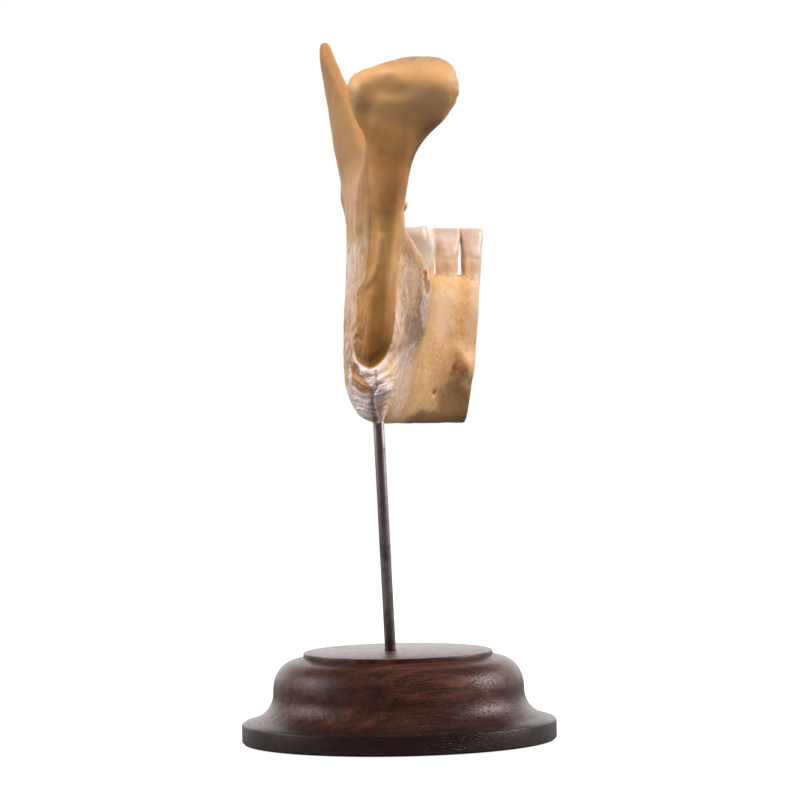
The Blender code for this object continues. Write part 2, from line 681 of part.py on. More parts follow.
def keep_largest_body(mesh):
    """Drops any loose scrap that a union or a cut leaves."""
    bm = bmesh.new()
    bm.from_mesh(mesh)
    unseen = set(bm.verts)
    bodies = []
    while unseen:
        body, front = set(), [unseen.pop()]
        while front:
            vert = front.pop()
            body.add(vert)
            for edge in vert.link_edges:
                other = edge.other_vert(vert)
                if other in unseen:
                    unseen.remove(other)
                    front.append(other)
        bodies.append(body)
    largest = max(bodies, key=len)
    scraps = [v for v in bm.verts if v not in largest]
    bmesh.ops.delete(bm, geom=scraps, context="VERTS")
    bm.to_mesh(mesh)
    bm.free()


def jaw_to_world():
    """Stands the jawbone's rod seat on the rod's head, leaning as it is mounted."""
    turned = Euler((0, math.radians(MOUNT_ROLL), 0)).to_matrix().to_4x4()
    seat = anatomical(ROD_SEAT)
    return Matrix.Translation(ROD_HEAD * MM) @ turned @ Matrix.Translation(-seat)


def cylinder_between(name, start, end, radius, collection):
    """A closed cylinder between two points in world mm."""
    axis = end - start
    bm = bmesh.new()
    bmesh.ops.create_cone(
        bm,
        cap_ends=True,
        segments=ROD_SIDES,
        radius1=radius * MM,
        radius2=radius * MM,
        depth=axis.length * MM,
    )
    mesh = bpy.data.meshes.new(name)
    bm.to_mesh(mesh)
    bm.free()
    obj = bpy.data.objects.new(name, mesh)
    obj.location = (start + end) / 2 * MM
    obj.rotation_mode = "QUATERNION"
    obj.rotation_quaternion = axis.to_track_quat("Z", "Y")
    collection.objects.link(obj)
    return obj


def drill(obj, cutter):
    """Cuts a hole and hides the drill."""
    cutter.hide_render = True
    cutter.display_type = "WIRE"
    hole = obj.modifiers.new("Rod hole", "BOOLEAN")
    hole.operation = "DIFFERENCE"
    hole.object = cutter


def base_profile():
    """The turned outline from the top's centre down to the foot, as (radius, height) in mm."""
    points = [(0.0, BASE_HEIGHT), (DISC_RADIUS - 0.15, BASE_HEIGHT), (DISC_RADIUS, BASE_HEIGHT - 0.15)]
    points.append((DISC_RADIUS, BASE_HEIGHT - DISC_STEP))
    bead_rise = BASE_HEIGHT - DISC_STEP - 0.3 - BEAD_FOOT
    for t in np.linspace(80, 0, 9):
        across, up = math.cos(math.radians(t)) ** 0.8, math.sin(math.radians(t)) ** 0.9
        points.append((DISC_RADIUS + (BEAD_RADIUS - DISC_RADIUS) * across, BEAD_FOOT + bead_rise * up))
    cove_width, cove_rise = BASE_RADIUS - 0.5 - BEAD_RADIUS, BEAD_FOOT - FLANGE_HEIGHT
    for t in np.linspace(12, 74, 7):
        across, down = 1 - math.cos(math.radians(t)), math.sin(math.radians(t))
        points.append((BEAD_RADIUS + cove_width * across, BEAD_FOOT - cove_rise * down))
    points.append((BASE_RADIUS - 0.5, FLANGE_HEIGHT - 0.25))
    points.append((BASE_RADIUS - 0.12, FLANGE_HEIGHT - 0.5))
    points.append((BASE_RADIUS, FLANGE_HEIGHT - 0.85))
    points.append((BASE_RADIUS, 0.3))
    points.append((BASE_RADIUS - 0.3, 0.0))
    points.append((0.0, 0.0))
    return points


def make_base(collection, cutters):
    """The walnut base, turned from its outline, with a hole for the rod."""
    points = base_profile()
    mesh = bpy.data.meshes.new("base")
    edges = [(i, i + 1) for i in range(len(points) - 1)]
    mesh.from_pydata([(r * MM, 0, z * MM) for r, z in points], edges, [])
    base = bpy.data.objects.new("base", mesh)
    collection.objects.link(base)
    turned = base.modifiers.new("Turned", "SCREW")
    turned.steps = turned.render_steps = BASE_SEGMENTS
    turned.use_merge_vertices = True
    turned.merge_threshold = 1e-5
    upwards = (ROD_HEAD - ROD_FOOT).normalized()
    bottom = ROD_FOOT - upwards * (ROD_SUNK_IN_BASE + GAP)
    hole = cylinder_between("rod hole in base", bottom, ROD_FOOT + upwards * 5, ROD_RADIUS + GAP, cutters)
    drill(base, hole)
    return base


def make_rod(collection):
    upwards = (ROD_HEAD - ROD_FOOT).normalized()
    bottom = ROD_FOOT - upwards * ROD_SUNK_IN_BASE
    top = ROD_HEAD + upwards * ROD_SUNK_IN_BONE
    return cylinder_between("rod", bottom, top, ROD_RADIUS, collection)


def make_jawbone(collection, cutters):
    """The bone and its teeth, one closed body."""
    forms = [
        loft_mesh("body form", body_rings()),
        loft_mesh("ramus form", level_rings(RAMUS)),
        loft_mesh("buttress form", buttress_rings()),
        loft_mesh("coronoid form", level_rings(CORONOID)),
        loft_mesh("condyle form", condyle_rings()),
    ]
    bone = join_forms("jawbone", forms, collection)
    merge_forms(bone)
    shape_relief(bone.data)
    shape_back(bone.data)
    thin_out(bone, BONE_TRIANGLES)
    cut_at_midline(bone)
    fuse_teeth(bone)
    bone.matrix_world = jaw_to_world()
    upwards = (ROD_HEAD - ROD_FOOT).normalized()
    top = ROD_HEAD + upwards * (ROD_SUNK_IN_BONE + GAP)
    hole = cylinder_between("rod hole in bone", ROD_HEAD - upwards * 5, top, ROD_RADIUS + GAP, cutters)
    drill(bone, hole)
    bpy.context.view_layer.update()
    apply_modifiers(bone)
    keep_largest_body(bone.data)
    return bone


def finish_with(obj, name, colour, roughness, metallic=0.0):
    material = bpy.data.materials.new(name)
    material.use_nodes = True
    shader = material.node_tree.nodes["Principled BSDF"]
    shader.inputs["Base Color"].default_value = colour
    shader.inputs["Roughness"].default_value = roughness
    shader.inputs["Metallic"].default_value = metallic
    obj.data.materials.clear()
    obj.data.materials.append(material)
    obj.data.shade_smooth()


def main():
    for obj in list(bpy.data.objects):
        bpy.data.objects.remove(obj)
    model = bpy.data.collections.new("Mounted jawbone")
    cutters = bpy.data.collections.new("Cutters")
    bpy.context.scene.collection.children.link(model)
    bpy.context.scene.collection.children.link(cutters)
    finish_with(make_base(model, cutters), "walnut", WALNUT_COLOUR, 0.45)
    finish_with(make_rod(model), "steel", STEEL_COLOUR, 0.4, 1.0)
    finish_with(make_jawbone(model, cutters), "bone", BONE_COLOUR, 0.5)


if __name__ == "__main__":
    main()
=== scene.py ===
import math

import bmesh
import bpy
import numpy as np
from mathutils import Euler, Matrix, Vector, noise


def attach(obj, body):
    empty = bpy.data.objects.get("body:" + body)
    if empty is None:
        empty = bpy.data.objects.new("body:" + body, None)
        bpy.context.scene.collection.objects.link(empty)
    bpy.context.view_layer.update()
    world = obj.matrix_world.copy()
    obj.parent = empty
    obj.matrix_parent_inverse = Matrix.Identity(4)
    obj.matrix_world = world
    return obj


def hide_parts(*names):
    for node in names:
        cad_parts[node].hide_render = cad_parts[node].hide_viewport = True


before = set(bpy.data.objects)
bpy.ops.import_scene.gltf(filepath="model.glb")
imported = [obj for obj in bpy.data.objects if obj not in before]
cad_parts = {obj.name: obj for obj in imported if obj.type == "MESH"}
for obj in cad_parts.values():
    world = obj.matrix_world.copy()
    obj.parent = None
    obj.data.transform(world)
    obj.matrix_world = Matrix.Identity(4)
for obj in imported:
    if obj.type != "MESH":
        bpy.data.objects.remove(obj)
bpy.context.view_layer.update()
mm = 0.001

# The jaw is drawn in its own frame, in mm: lateral from the midline, anterior from the angle,
# and height over the lower border. The mount stands one point of it on the rod's head.
mount = {
    "rodFoot": (-0.97, 1.86, 17.6),  # world mm, where the rod leaves the base
    "rodHead": (-2.25, 2.78, 62.6),  # world mm, where it meets the bone
    "seat": (44.3, 7.0, 0.8),  # that place on the jaw
    "roll": 1.5,  # degrees, the top leaning towards the midline
}

# Upright sections of the body: lower border, socket rim, and half thicknesses at border,
# middle and rim, first to the cheek side and then to the tongue side
bodySections = {
    "past midline": ((-9, 80.8, -1.4), (-9, 76.3, 29.6), (6.0, 4.2, 3.6), (5.5, 5.0, 3.6)),
    "midline": ((0, 82.2, -2.0), (0, 78.4, 30.0), (6.3, 4.0, 3.6), (5.7, 5.0, 3.6)),
    "lateral incisor": ((11, 79.8, -2.0), (9, 76.8, 30.0), (6.2, 4.2, 3.8), (6.0, 5.0, 3.8)),
    "canine": ((20, 72.6, -1.8), (15.4, 71.6, 29.8), (6.0, 5.0, 4.4), (6.0, 4.6, 4.4)),
    "second premolar": ((27, 62, -1.4), (19.8, 61.5, 29.4), (5.8, 6.0, 5.0), (5.6, 4.6, 5.0)),
    "first molar": ((32.6, 48.5, -0.4), (24.2, 49, 29.2), (5.6, 7.0, 6.0), (5.2, 4.6, 5.6)),
    "second molar": ((37.4, 34.5, 0.6), (28.4, 37, 29.2), (5.2, 7.2, 6.6), (5.0, 4.4, 5.6)),
    "retromolar": ((41.4, 22, 1.6), (32.6, 26, 30.5), (4.8, 6.6, 5.6), (4.4, 4.2, 5.4)),
    "under the ramus": ((45.0, 11, 2.0), (37.6, 18.5, 33.0), (4.0, 5.0, 4.0), (3.4, 4.2, 4.2)),
    "end": ((46.4, 5, 5.0), (41.0, 13, 33.5), (2.6, 3.0, 2.6), (2.4, 3.0, 2.6)),
}

# Level sections of the ramus and coronoid process: height, back edge, front edge as (lateral,
# anterior), and half thicknesses at back, middle and front
ramusSections = {
    "underside": (0.6, (45.6, 3.8), (43.0, 16), (1.2, 1.5, 1.2)),
    "low angle": (3.0, (46.2, 0.9), (42.4, 24), (2.4, 3.0, 2.0)),
    "above the border": (5.2, (46.9, -0.9), (41.4, 27), (3.2, 4.1, 2.6)),
    "angle": (8.0, (47.2, -2.4), (41.0, 29), (3.7, 4.8, 3.0)),
    "above the angle": (15.0, (47.4, -4.0), (40.6, 31), (3.7, 5.2, 3.2)),
    "lower ramus": (24.0, (47.9, -6.0), (40.8, 31), (3.8, 4.9, 3.4)),
    "oblique line": (32.0, (48.2, -8.6), (42.2, 28.6), (4.0, 4.2, 3.4)),
    "lingula": (40.0, (48.3, -11.8), (43.7, 25.2), (4.3, 4.3, 3.0)),
    "under the notch": (46.0, (48.8, -14.2), (46.0, 23.4), (4.3, 3.4, 2.4)),
    "notch": (50.0, (49.3, -16.0), (47.4, 22.6), (3.6, 1.9, 2.2)),
}
coronoidSections = {
    "root": (44.0, (46.8, -4.0), (45.2, 23.9), (2.4, 2.8, 2.6)),
    "notch": (50.5, (48.1, -3.5), (47.3, 22.5), (1.9, 2.4, 2.3)),
    "base": (56.0, (48.8, 1.6), (48.6, 21.9), (1.8, 2.3, 2.1)),
    "middle": (62.0, (49.8, 5.8), (49.6, 21.7), (1.5, 2.0, 1.8)),
    "upper": (68.0, (51.2, 10.8), (51.2, 21.2), (1.2, 1.5, 1.5)),
    "near tip": (72.8, (52.3, 14.4), (52.3, 20.4), (1.0, 1.3, 1.2)),
    "tip": (75.8, (52.8, 16.4), (52.8, 18.9), (0.8, 1.0, 0.9)),
}

# The buttress from the back of the tooth row up to the ramus: centre and radius
buttressSections = (
    ((30.2, 34, 22.5), 3.8),
    ((32.0, 30, 26.0), 4.2),
    ((34.4, 26, 31), 4.3),
    ((38.0, 21.5, 36.5), 4.0),
    ((41.8, 18.5, 42.5), 3.2),
    ((44.8, 17, 49.5), 2.4),
    ((46.6, 16.5, 56), 1.6),
)

# Level sections of the condyle: centre, half width across the jaw, half depth from front to back,
# and how far its inner end is turned back, in degrees
condyleSections = {
    "root": ((48.3, -3.2, 38.0), 3.6, 6.6, -6.0),
    "low neck": ((48.8, -8.4, 46.0), 4.3, 8.0, -4.0),
    "neck": ((48.8, -13.0, 52.0), 4.8, 5.8, 0.0),
    "upper neck": ((48.5, -16.4, 56.0), 5.9, 4.4, 6.0),
    "under the head": ((48.1, -18.6, 59.6), 8.6, 4.0, 12.0),
    "head": ((48.0, -20.4, 63.2), 10.5, 4.6, 16.0),
    "widest": ((47.9, -21.2, 66.2), 10.3, 4.7, 17.0),
    "shoulder": ((47.5, -21.5, 68.5), 9.4, 4.0, 17.0),
    "upper shoulder": ((46.2, -21.6, 69.8), 7.6, 3.2, 17.0),
    "top": ((45.2, -21.7, 71.0), 5.0, 2.2, 17.0),
    "crown": ((45.0, -21.7, 71.6), 2.6, 1.0, 17.0),
}

bone = {
    "ringPoints": 40,
    "loftSteps": 6,
    "bodyFullness": 0.55,
    "ramusFullness": 0.6,
    "voxel": 0.46,
    "smoothPasses": 12,
    "creasePasses": 110,
    "creasePull": 0.5,
    "edgePull": 0.03,
    "cutAtCrest": 1.35,  # mm off the midline where the saw leaves the socket rim
    "cutLean": 3.3,  # degrees
    "crestHeight": 29.6,
    "flowSpan": 160.0,  # the painted distance from the border and along it are shares of this, mm
    "cortexWidth": 1.7,  # thickness of the solid rim round the spongy bone, mm
}

# Swellings and hollows: place, reach, the way that side faces, rise
touches = {
    "chin": ((0, 88, 6.5), (9, 5, 7), (0, 1, -0.1), 2.6),
    "chin corner": ((11, 86, 2.5), (5, 5, 4), (0.3, 1, -0.4), 1.2),
    "hollow over the chin": ((6, 84, 20), (7, 5, 6), (0, 1, 0), -1.3),
    "genial spine": ((4.6, 75.5, 10.2), (1.8, 4, 2.2), (0, -1, 0.1), 1.8),
    "upper genial spine": ((6.4, 75.2, 13.4), (1.2, 4, 1.5), (0, -1, 0.1), 0.6),
    "genial pit": ((6.6, 75.0, 9.7), (1.0, 4, 1.2), (0, -1, 0), -0.7),
    "lower genial pit": ((3.2, 75.0, 6.4), (1.1, 4, 1.1), (0, -1, 0), -0.5),
    "side foramen": ((12.2, 72, 4.5), (0.55, 4, 0.8), (0, -1, 0), -1.6),
    "digastric hollow": ((8, 77, 3.5), (6, 5, 4.5), (-0.1, -0.8, -0.3), -1.3),
    "sublingual hollow": ((13, 70, 18), (6, 7, 7), (-0.5, -0.85, 0), -0.9),
    "submandibular hollow": ((31, 37, 13.5), (8, 15, 6), (-1, -0.2, 0), -1.6),
    "hollow behind the tooth row": ((33.5, 24.5, 23), (6, 3.5, 6), (-1, -0.3, 0), -1.5),
    "mental foramen": ((33.2, 62.5, 14.5), (3, 1.5, 1.4), (0.95, 0.2, 0.1), -3.0),
    "mandibular foramen": ((42.5, 2.8, 40.5), (4, 2.3, 2.8), (-1, 0, 0), -3.4),
    "lingula": ((42.0, 5.6, 43.7), (6, 1.0, 3.2), (-1, 0, 0), 4.6),
    "rim behind the last molar": ((26.8, 32.5, 29.6), (2.2, 2.6, 3.0), (-0.4, 0, 1), 3.0),
    "thick middle": ((42.5, 0, 41), (4, 9, 11), (-1, 0, 0), 1.1),
    "masseter field": ((51, 9, 14), (4, 8, 7), (1, 0, 0), 0.7),
    "angle lip": ((47.3, -3.4, 9.0), (5.5, 4, 2.4), (0, -1, -0.1), 1.6),
    "angle lip, cheek side": ((50.2, 0, 8.4), (3, 4, 2.6), (0.8, -0.6, -0.1), 1.0),
    "angle lip, tongue side": ((44, 0, 10.4), (3, 4, 2.8), (-0.7, -0.7, -0.1), 1.4),
    "hollow over the lip": ((47.3, -5, 14.6), (4, 4, 3), (0, -1, 0), -1.5),
    "hollow of the back border": ((48.6, -6, 20), (2.6, 4, 5.5), (0, -1, 0), -0.8),
    "antegonial notch": ((43, 21, 0.5), (5, 8, 4), (0, 0, -1), -1.4),
    "pterygoid fovea": ((44, -15, 62.5), (4, 4, 4), (0, 1, 0), -1.5),
    "outer pole": ((58, -18, 66.5), (2.0, 3, 2.6), (0.9, 0, 0.5), 0.9),
    "facet of the outer pole": ((57.6, -20.4, 64.8), (1.0, 3, 3.2), (0.5, -0.8, 0), 0.5),
    "hollow under the outer pole": ((55.2, -21, 61.6), (1.9, 4, 2.8), (0.3, -1, 0), -0.9),
    "saddle of the head": ((54.3, -24, 64.6), (1.7, 3, 1.6), (0.2, -1, 0), -0.5),
    "knob of the head": ((52.7, -24.5, 68.1), (1.8, 3, 1.1), (0.2, -0.9, 0.4), 0.8),
    "fold under the knob": ((50.8, -24, 64.6), (3.0, 3, 1.5), (0, -1, 0), -0.8),
    "swell of the head": ((43.6, -26, 65.4), (6.5, 4, 4.2), (0, -1, 0.15), 1.3),
    "fold under the swell": ((44.0, -22, 58.6), (6, 4, 2.4), (0, -1, -0.2), -0.6),
    "wisdom tooth socket": ((30.0, 31.0, 31.5), (2.6, 3.4, 3), (-0.2, 0, 1), -2.2),
}

# Raised lines, or grooves where the rise is negative: points, width, facing, rise
ridges = {
    "everted border": (((47.3, -4.4, 9.5), (46.8, -2.4, 5.5), (45.8, 2.0, 1.6)), 3.0, (0, -0.8, -0.6), 1.2),
    "mylohyoid line": (
        ((28.6, 27, 25.5), (27, 35, 22.5), (23, 47, 18.5), (16, 60, 14)), 2.0, (-1, -0.3, 0), 0.8,
    ),
    "oblique line": (
        ((48, 24, 44), (47.5, 29, 32), (44, 37, 25), (40, 47, 20), (37, 55, 15)), 2.8, (1, 0.3, 0), 1.3,
    ),
    "temporal crest": (((46, 19, 58), (42.5, 19.5, 46), (38, 20, 38), (31, 25, 32)), 1.9, (-1, 0, 0.2), 1.3),
    "ridge under the condyle": (
        ((42, -19, 62), (45, -10, 53), (44, 0, 46), (43, 7, 42)), 2.6, (-1, 0, 0), 0.9,
    ),
    "mylohyoid groove": (
        ((42.5, 3.5, 39), (41.5, 8, 33), (39.5, 13, 26), (37, 19, 20)), 1.0, (-1, 0, 0), -0.9,
    ),
}

# The back of the jaw is also marked out as it is seen from behind, turned to the cheek side by
# the angle below: how far across from the base's middle, and the height, in mm
seenFromBehind = {"turn": 17.0, "middle": (42.05, 4.2), "roll": 0.026}
backMarks = {
    "smooth border": (
        (-4.0, 58), (-3.75, 50), (-3.7, 43), (-3.85, 37.4), (-4.4, 32.2), (-5.0, 28.4), (-6.3, 26.6),
        (-6.7, 22), (-6.8, 18.8), (-7.2, 16), (-7.0, 13.4), (-5.6, 12.0), (-4.2, 11.5), (-2.8, 12.3),
        (-1.5, 13.7), (-0.6, 15.6), (0.1, 17.8), (0.5, 20.8), (0.9, 24.7), (1.4, 27.6), (2.2, 32),
        (2.8, 36.3), (3.4, 42), (4.2, 50), (6.0, 58),
    ),
    "line across it": ((-1.5, 37), (-1.9, 34.2), (-2.5, 31.8), (-3.5, 29.6), (-4.7, 28), (-6.3, 26.6)),
    "fold of the lip": ((-5.4, 10.9), (-3.3, 10.5), (-1.4, 11.9), (0.1, 14.4), (1.0, 17.4), (1.5, 20.5)),
    "second fold": ((-4.4, 9.4), (-2.2, 9.6), (-0.3, 11.2), (1.2, 13.9), (2.1, 17.6), (2.4, 21)),
    "crack": ((-3.2, 11.2), (-3.2, 9), (-3.3, 7.6), (-3.9, 6.7), (-4.2, 4.4), (-3.7, 1.4), (-3.6, -1)),
}

# Colour seen from behind: outline as in backMarks, how soft its edge is, the nearest and furthest
# it lies forward, the painted layer and its strength
patches = {
    "fibres beside the border": (
        (
            (3.0, 36.5), (3.9, 36.0), (4.3, 31), (3.9, 26.4), (3.9, 18.1),
            (3.3, 14.2), (1.9, 10.3), (-0.1, 10.4), (0.9, 22.5), (2.3, 33.3),
        ),
        0.6, (-14, 26), "chalk", 0.36,
    ),
    # painted highlight along the crest behind the teeth
    "painted highlight on the crest behind the teeth": (
        (
            (2.6, 40.5), (4.4, 38.0), (6.2, 34.8), (8.0, 31.9),
            (7.6, 30.4), (6.3, 30.0), (4.8, 29.6), (3.4, 33.4),
        ),
        0.7, (4, 46), "pale", 0.45,
    ),
    # painted shade in the small hollow behind the last molar
    "painted shade in the hollow behind the teeth": (
        ((6.5, 31.4), (8.4, 28.9), (7.2, 25.6), (6.6, 28.4)),
        0.25, (16, 70), "shade", 1.0,
    ),
    # grey-brown bone with painted shade in the hollow behind the tooth row
    "grey bone and painted shade in the hollow": (
        ((3.3, 21.6), (5.1, 22.3), (5.9, 19.5), (5.7, 17.1), (4.0, 14.5), (2.8, 16.3)),
        0.9, (10, 60), "grey", 0.9,
    ),
    "brown side": (
        (
            (2.8, 38.6), (4.2, 36.5), (5.7, 31.6), (6.6, 26.4), (7.8, 23.9), (7.1, 18.9), (5.6, 14.9),
            (3.9, 11.5), (1.1, 10.8), (0.3, 14.0), (1.8, 18.0), (2.1, 24.1), (2.0, 30.1), (2.5, 34.1),
        ),
        0.8, (-6, 60), "taupe", 0.9,
    ),
    "pink fold": (
        ((6.0, 26.5), (7.5, 27.1), (7.8, 23.8), (7.1, 19.4), (6.1, 18.2), (5.6, 22.7)),
        0.5, (14, 60), "chalk", 0.5,
    ),
    "dust beside the border": (
        ((-0.3, 13.5), (2.4, 15.4), (5.2, 16.2), (3.9, 11.7), (1.8, 7.7), (-1.0, 6.2), (-1.4, 9.4)),
        1.5, (-8, 60), "chalk", 0.5,
    ),
    "shade of the neck": (
        ((2.4, 60), (4.4, 58), (4.4, 44), (2.0, 43), (1.8, 52)),
        1.1, (-30, 12), "shade", 0.3,
    ),
    "dust over the border": (
        (
            (0.5, 15), (3.0, 15), (5.2, 12.4), (4.8, 7.4),
            (3.4, 3.2), (1.6, -1.0), (-1.5, -1.0), (-0.8, 8.0),
        ),
        2.2, (-8, 70), "chalk", 0.42,
    ),
    # painted shade on the underside along the lower border
    "painted shade along the lower border": (
        (
            (2.4, 0.0), (5.0, 1.0), (8.0, 1.2), (11.9, 0.6),
            (16.2, 1.6), (18.0, -4.0), (9.7, -4.0), (2.4, -4.0),
        ),
        0.9, (50, 92), "shade", 0.75,
    ),
    # brown stain with painted shade where the chin turns under
    "stain and painted shade of the chin": (
        (
            (11.0, 7.4), (13.0, 9.4), (14.4, 7.4), (16.2, 5.8),
            (16.4, -3.5), (11.0, -3.5), (8.4, -0.5), (9.0, 4.1),
        ),
        2.2, (62, 92), "shade", 0.72,
    ),
    # brown stain with some painted shade low on the chin
    "brown stain and painted shade low on the chin": (
        ((8.4, 10), (11, 11), (14.5, 8.2), (16, 5), (15.5, -3.5), (7.0, -3.5), (6.6, 3.0)),
        2.6, (62, 92), "shade", 0.32,
    ),
    # painted light on the upper lingual face of the front
    "painted light on the front": (
        ((8.6, 25.5), (12, 26.5), (13.5, 23), (12.5, 18), (10.2, 14.5), (8.6, 18)),
        2.6, (60, 92), "pale", 0.75,
    ),
    # painted light along the front's edge by the sawn cut
    "painted light at the edge by the cut": (
        ((16.6, 30), (20, 30), (20, 1), (17.2, 1), (16.0, 8), (15.2, 18)),
        1.4, (60, 92), "pale", 0.7,
    ),
    "white edge of the lip": (
        ((-10.5, 9.0), (-8.6, 7.4), (-7.2, 6.0), (-5.5, 3.0), (-4.0, -2.0), (-8.0, -2.0), (-10.5, 4.0)),
        0.6, (-12, 26), "chalk", 0.9,
    ),
    "dust of the cheek side": (
        ((-10.5, 36), (-4.6, 36), (-5.2, 33), (-5.6, 30), (-6.8, 24), (-7.2, 14), (-8.2, 8), (-10.5, 8)),
        6.0, (-12, 26), "chalk", 0.7,
    ),
    "brown of the lip": (
        (
            (-8.3, 12.1), (-7.1, 12.6), (-6.3, 10.6), (-5.0, 9.2),
            (-3.9, 8.0), (-4.1, 6.7), (-6.2, 6.7), (-8.0, 8.0),
        ),
        0.5, (-10, 14), "rust", 0.9,
    ),
    "stain of the cheek side": (
        ((-9.8, 25.5), (-7.6, 25.5), (-7.3, 16.8), (-7.9, 10.6), (-9.4, 8.3), (-10.4, 14.9)),
        0.8, (-4, 30), "rust", 0.42,
    ),
}

# Teeth: kind, middle as (lateral, anterior), width along the arch, depth across it, and how far
# the outward side is turned from straight ahead, in degrees
teeth = {
    "central incisor": ("incisor", (2.35, 78.5), 5.2, 5.6, -6.0),
    "lateral incisor": ("incisor", (8.1, 77.7), 5.9, 5.8, -5.0),
    "canine": ("canine", (14.9, 74.2), 6.3, 6.8, 26.0),
    "first premolar": ("premolar", (18.3, 68.0), 6.9, 7.4, 60.0),
    "second premolar": ("premolar", (21.0, 61.0), 7.1, 8.0, 70.0),
    "first molar": ("molar", (24.8, 51.5), 11.0, 10.2, 72.0),
    "second molar": ("molar", (28.2, 40.5), 10.6, 9.8, 74.0),
}

# Rings of each kind of tooth from root to biting edge, one row for each of: height, share of the
# width, share of the depth, and how far the ring is moved outward, as a share of the depth
toothProfiles = {
    "incisor": (
        (24.0, 27.5, 30.0, 32.6, 33.8, 35.2, 36.6, 37.4, 38.6, 39.4),
        (0.60, 0.72, 0.79, 0.82, 0.84, 0.88, 0.94, 1.00, 1.00, 0.97),
        (0.80, 0.90, 0.95, 0.97, 1.00, 0.92, 0.78, 0.68, 0.57, 0.54),
        (0.00, 0.00, 0.00, 0.00, -0.01, 0.01, 0.05, 0.08, 0.10, 0.11),
    ),
    "canine": (
        (24.0, 27.5, 30.0, 32.4, 33.8, 35.4, 37.0, 38.3, 39.0),
        (0.60, 0.70, 0.76, 0.80, 0.84, 0.92, 1.00, 0.98, 0.94),
        (0.80, 0.90, 0.94, 0.96, 0.98, 0.92, 0.82, 0.70, 0.64),
        (0.00, 0.00, 0.00, 0.00, -0.01, 0.00, 0.03, 0.05, 0.06),
    ),
    "premolar": (
        (24.0, 27.5, 30.0, 32.2, 33.4, 35.2, 37.0, 38.4, 39.2),
        (0.60, 0.68, 0.72, 0.76, 0.88, 0.98, 1.00, 0.97, 0.90),
        (0.66, 0.78, 0.84, 0.88, 0.96, 1.00, 0.97, 0.88, 0.80),
        (0.00, 0.00, 0.00, 0.00, 0.00, 0.00, 0.00, 0.00, 0.00),
    ),
    "molar": (
        (24.0, 27.5, 30.0, 32.2, 33.4, 35.2, 37.0, 38.2, 39.0),
        (0.76, 0.82, 0.85, 0.86, 0.93, 0.99, 1.00, 0.97, 0.91),
        (0.72, 0.80, 0.84, 0.88, 0.95, 1.00, 0.98, 0.92, 0.86),
        (0.00, 0.00, 0.00, 0.00, 0.00, 0.00, 0.00, 0.00, 0.00),
    ),
}
tooth = {
    "ringPoints": 32,
    "squareness": 0.72,
    "rootRoundness": 0.95,
    "dentineInset": 0.7,
    "dentineDip": 0.18,
    "wobble": 0.10,
    "enamelInset": 0.22,
    "enamelRise": 0.16,
    "crownTop": 39.2,
    "cuspRise": 0.7,
    "cuspReach": {"premolar": 0.34, "molar": 0.24},
    "fissure": 0.45,
    "swell": 0.5,  # of the bone over a root, mm
    "dip": 0.5,  # of the socket rim in front of it, mm
    "warm": {"incisor": 0.55, "canine": 0.3, "premolar": 0.1, "molar": 0.05},
}

base = {
    "radius": 30.95,
    "height": 17.6,
    "flangeHeight": 4.3,
    "discRadius": 18.6,
    "discStep": 1.0,
    "beadRadius": 24.7,
    "beadFoot": 9.8,
    "steps": 144,
    "grainTurn": 17,  # degrees
}
rod = {"radius": 1.08, "inBase": 9.0, "inBone": 6.0, "sides": 48}

camera = {
    "turn": 17.0,  # degrees the photo's view is turned towards the cheek side
    "roll": 1.09,
    "height": 102.0,
    "distance": 975.5,
    "aside": 1.35,
    "focalPixels": 4975.0,
    "pictureWidth": 800,
    "horizonRow": 221,
    "sensor": 36.0,
}


def srgb(red, green, blue):
    # a screen colour, 0 to 255, as the linear colour a shader wants
    parts = [c / 255 for c in (red, green, blue)]
    return tuple(c / 12.92 if c <= 0.04045 else ((c + 0.055) / 1.055) ** 2.4 for c in parts) + (1.0,)


class Wire:
    # a socket of a material that can be added to, multiplied and so on
    def __init__(self, finish, socket):
        self.finish = finish
        self.socket = socket

    def maths(self, operation, *values):
        sockets = dict(enumerate(values))
        return self.finish.node("ShaderNodeMath", {"operation": operation}, sockets)

    def __add__(self, other):
        return self.maths("ADD", self, other)

    def __radd__(self, other):
        return self.maths("ADD", other, self)

    def __sub__(self, other):
        return self.maths("SUBTRACT", self, other)

    def __rsub__(self, other):
        return self.maths("SUBTRACT", other, self)

    def __mul__(self, other):
        return self.maths("MULTIPLY", self, other)

    def __rmul__(self, other):
        return self.maths("MULTIPLY", other, self)

    def __truediv__(self, other):
        return self.maths("DIVIDE", self, other)

    def __rtruediv__(self, other):
        return self.maths("DIVIDE", other, self)

    def between(self, low, high):
        # 0 at low, 1 at high, and a smooth step between them
        settings = {"interpolation_type": "SMOOTHSTEP", "clamp": True}
        sockets = {"Value": self, "From Min": low, "From Max": high}
        return self.finish.node("ShaderNodeMapRange", settings, sockets)


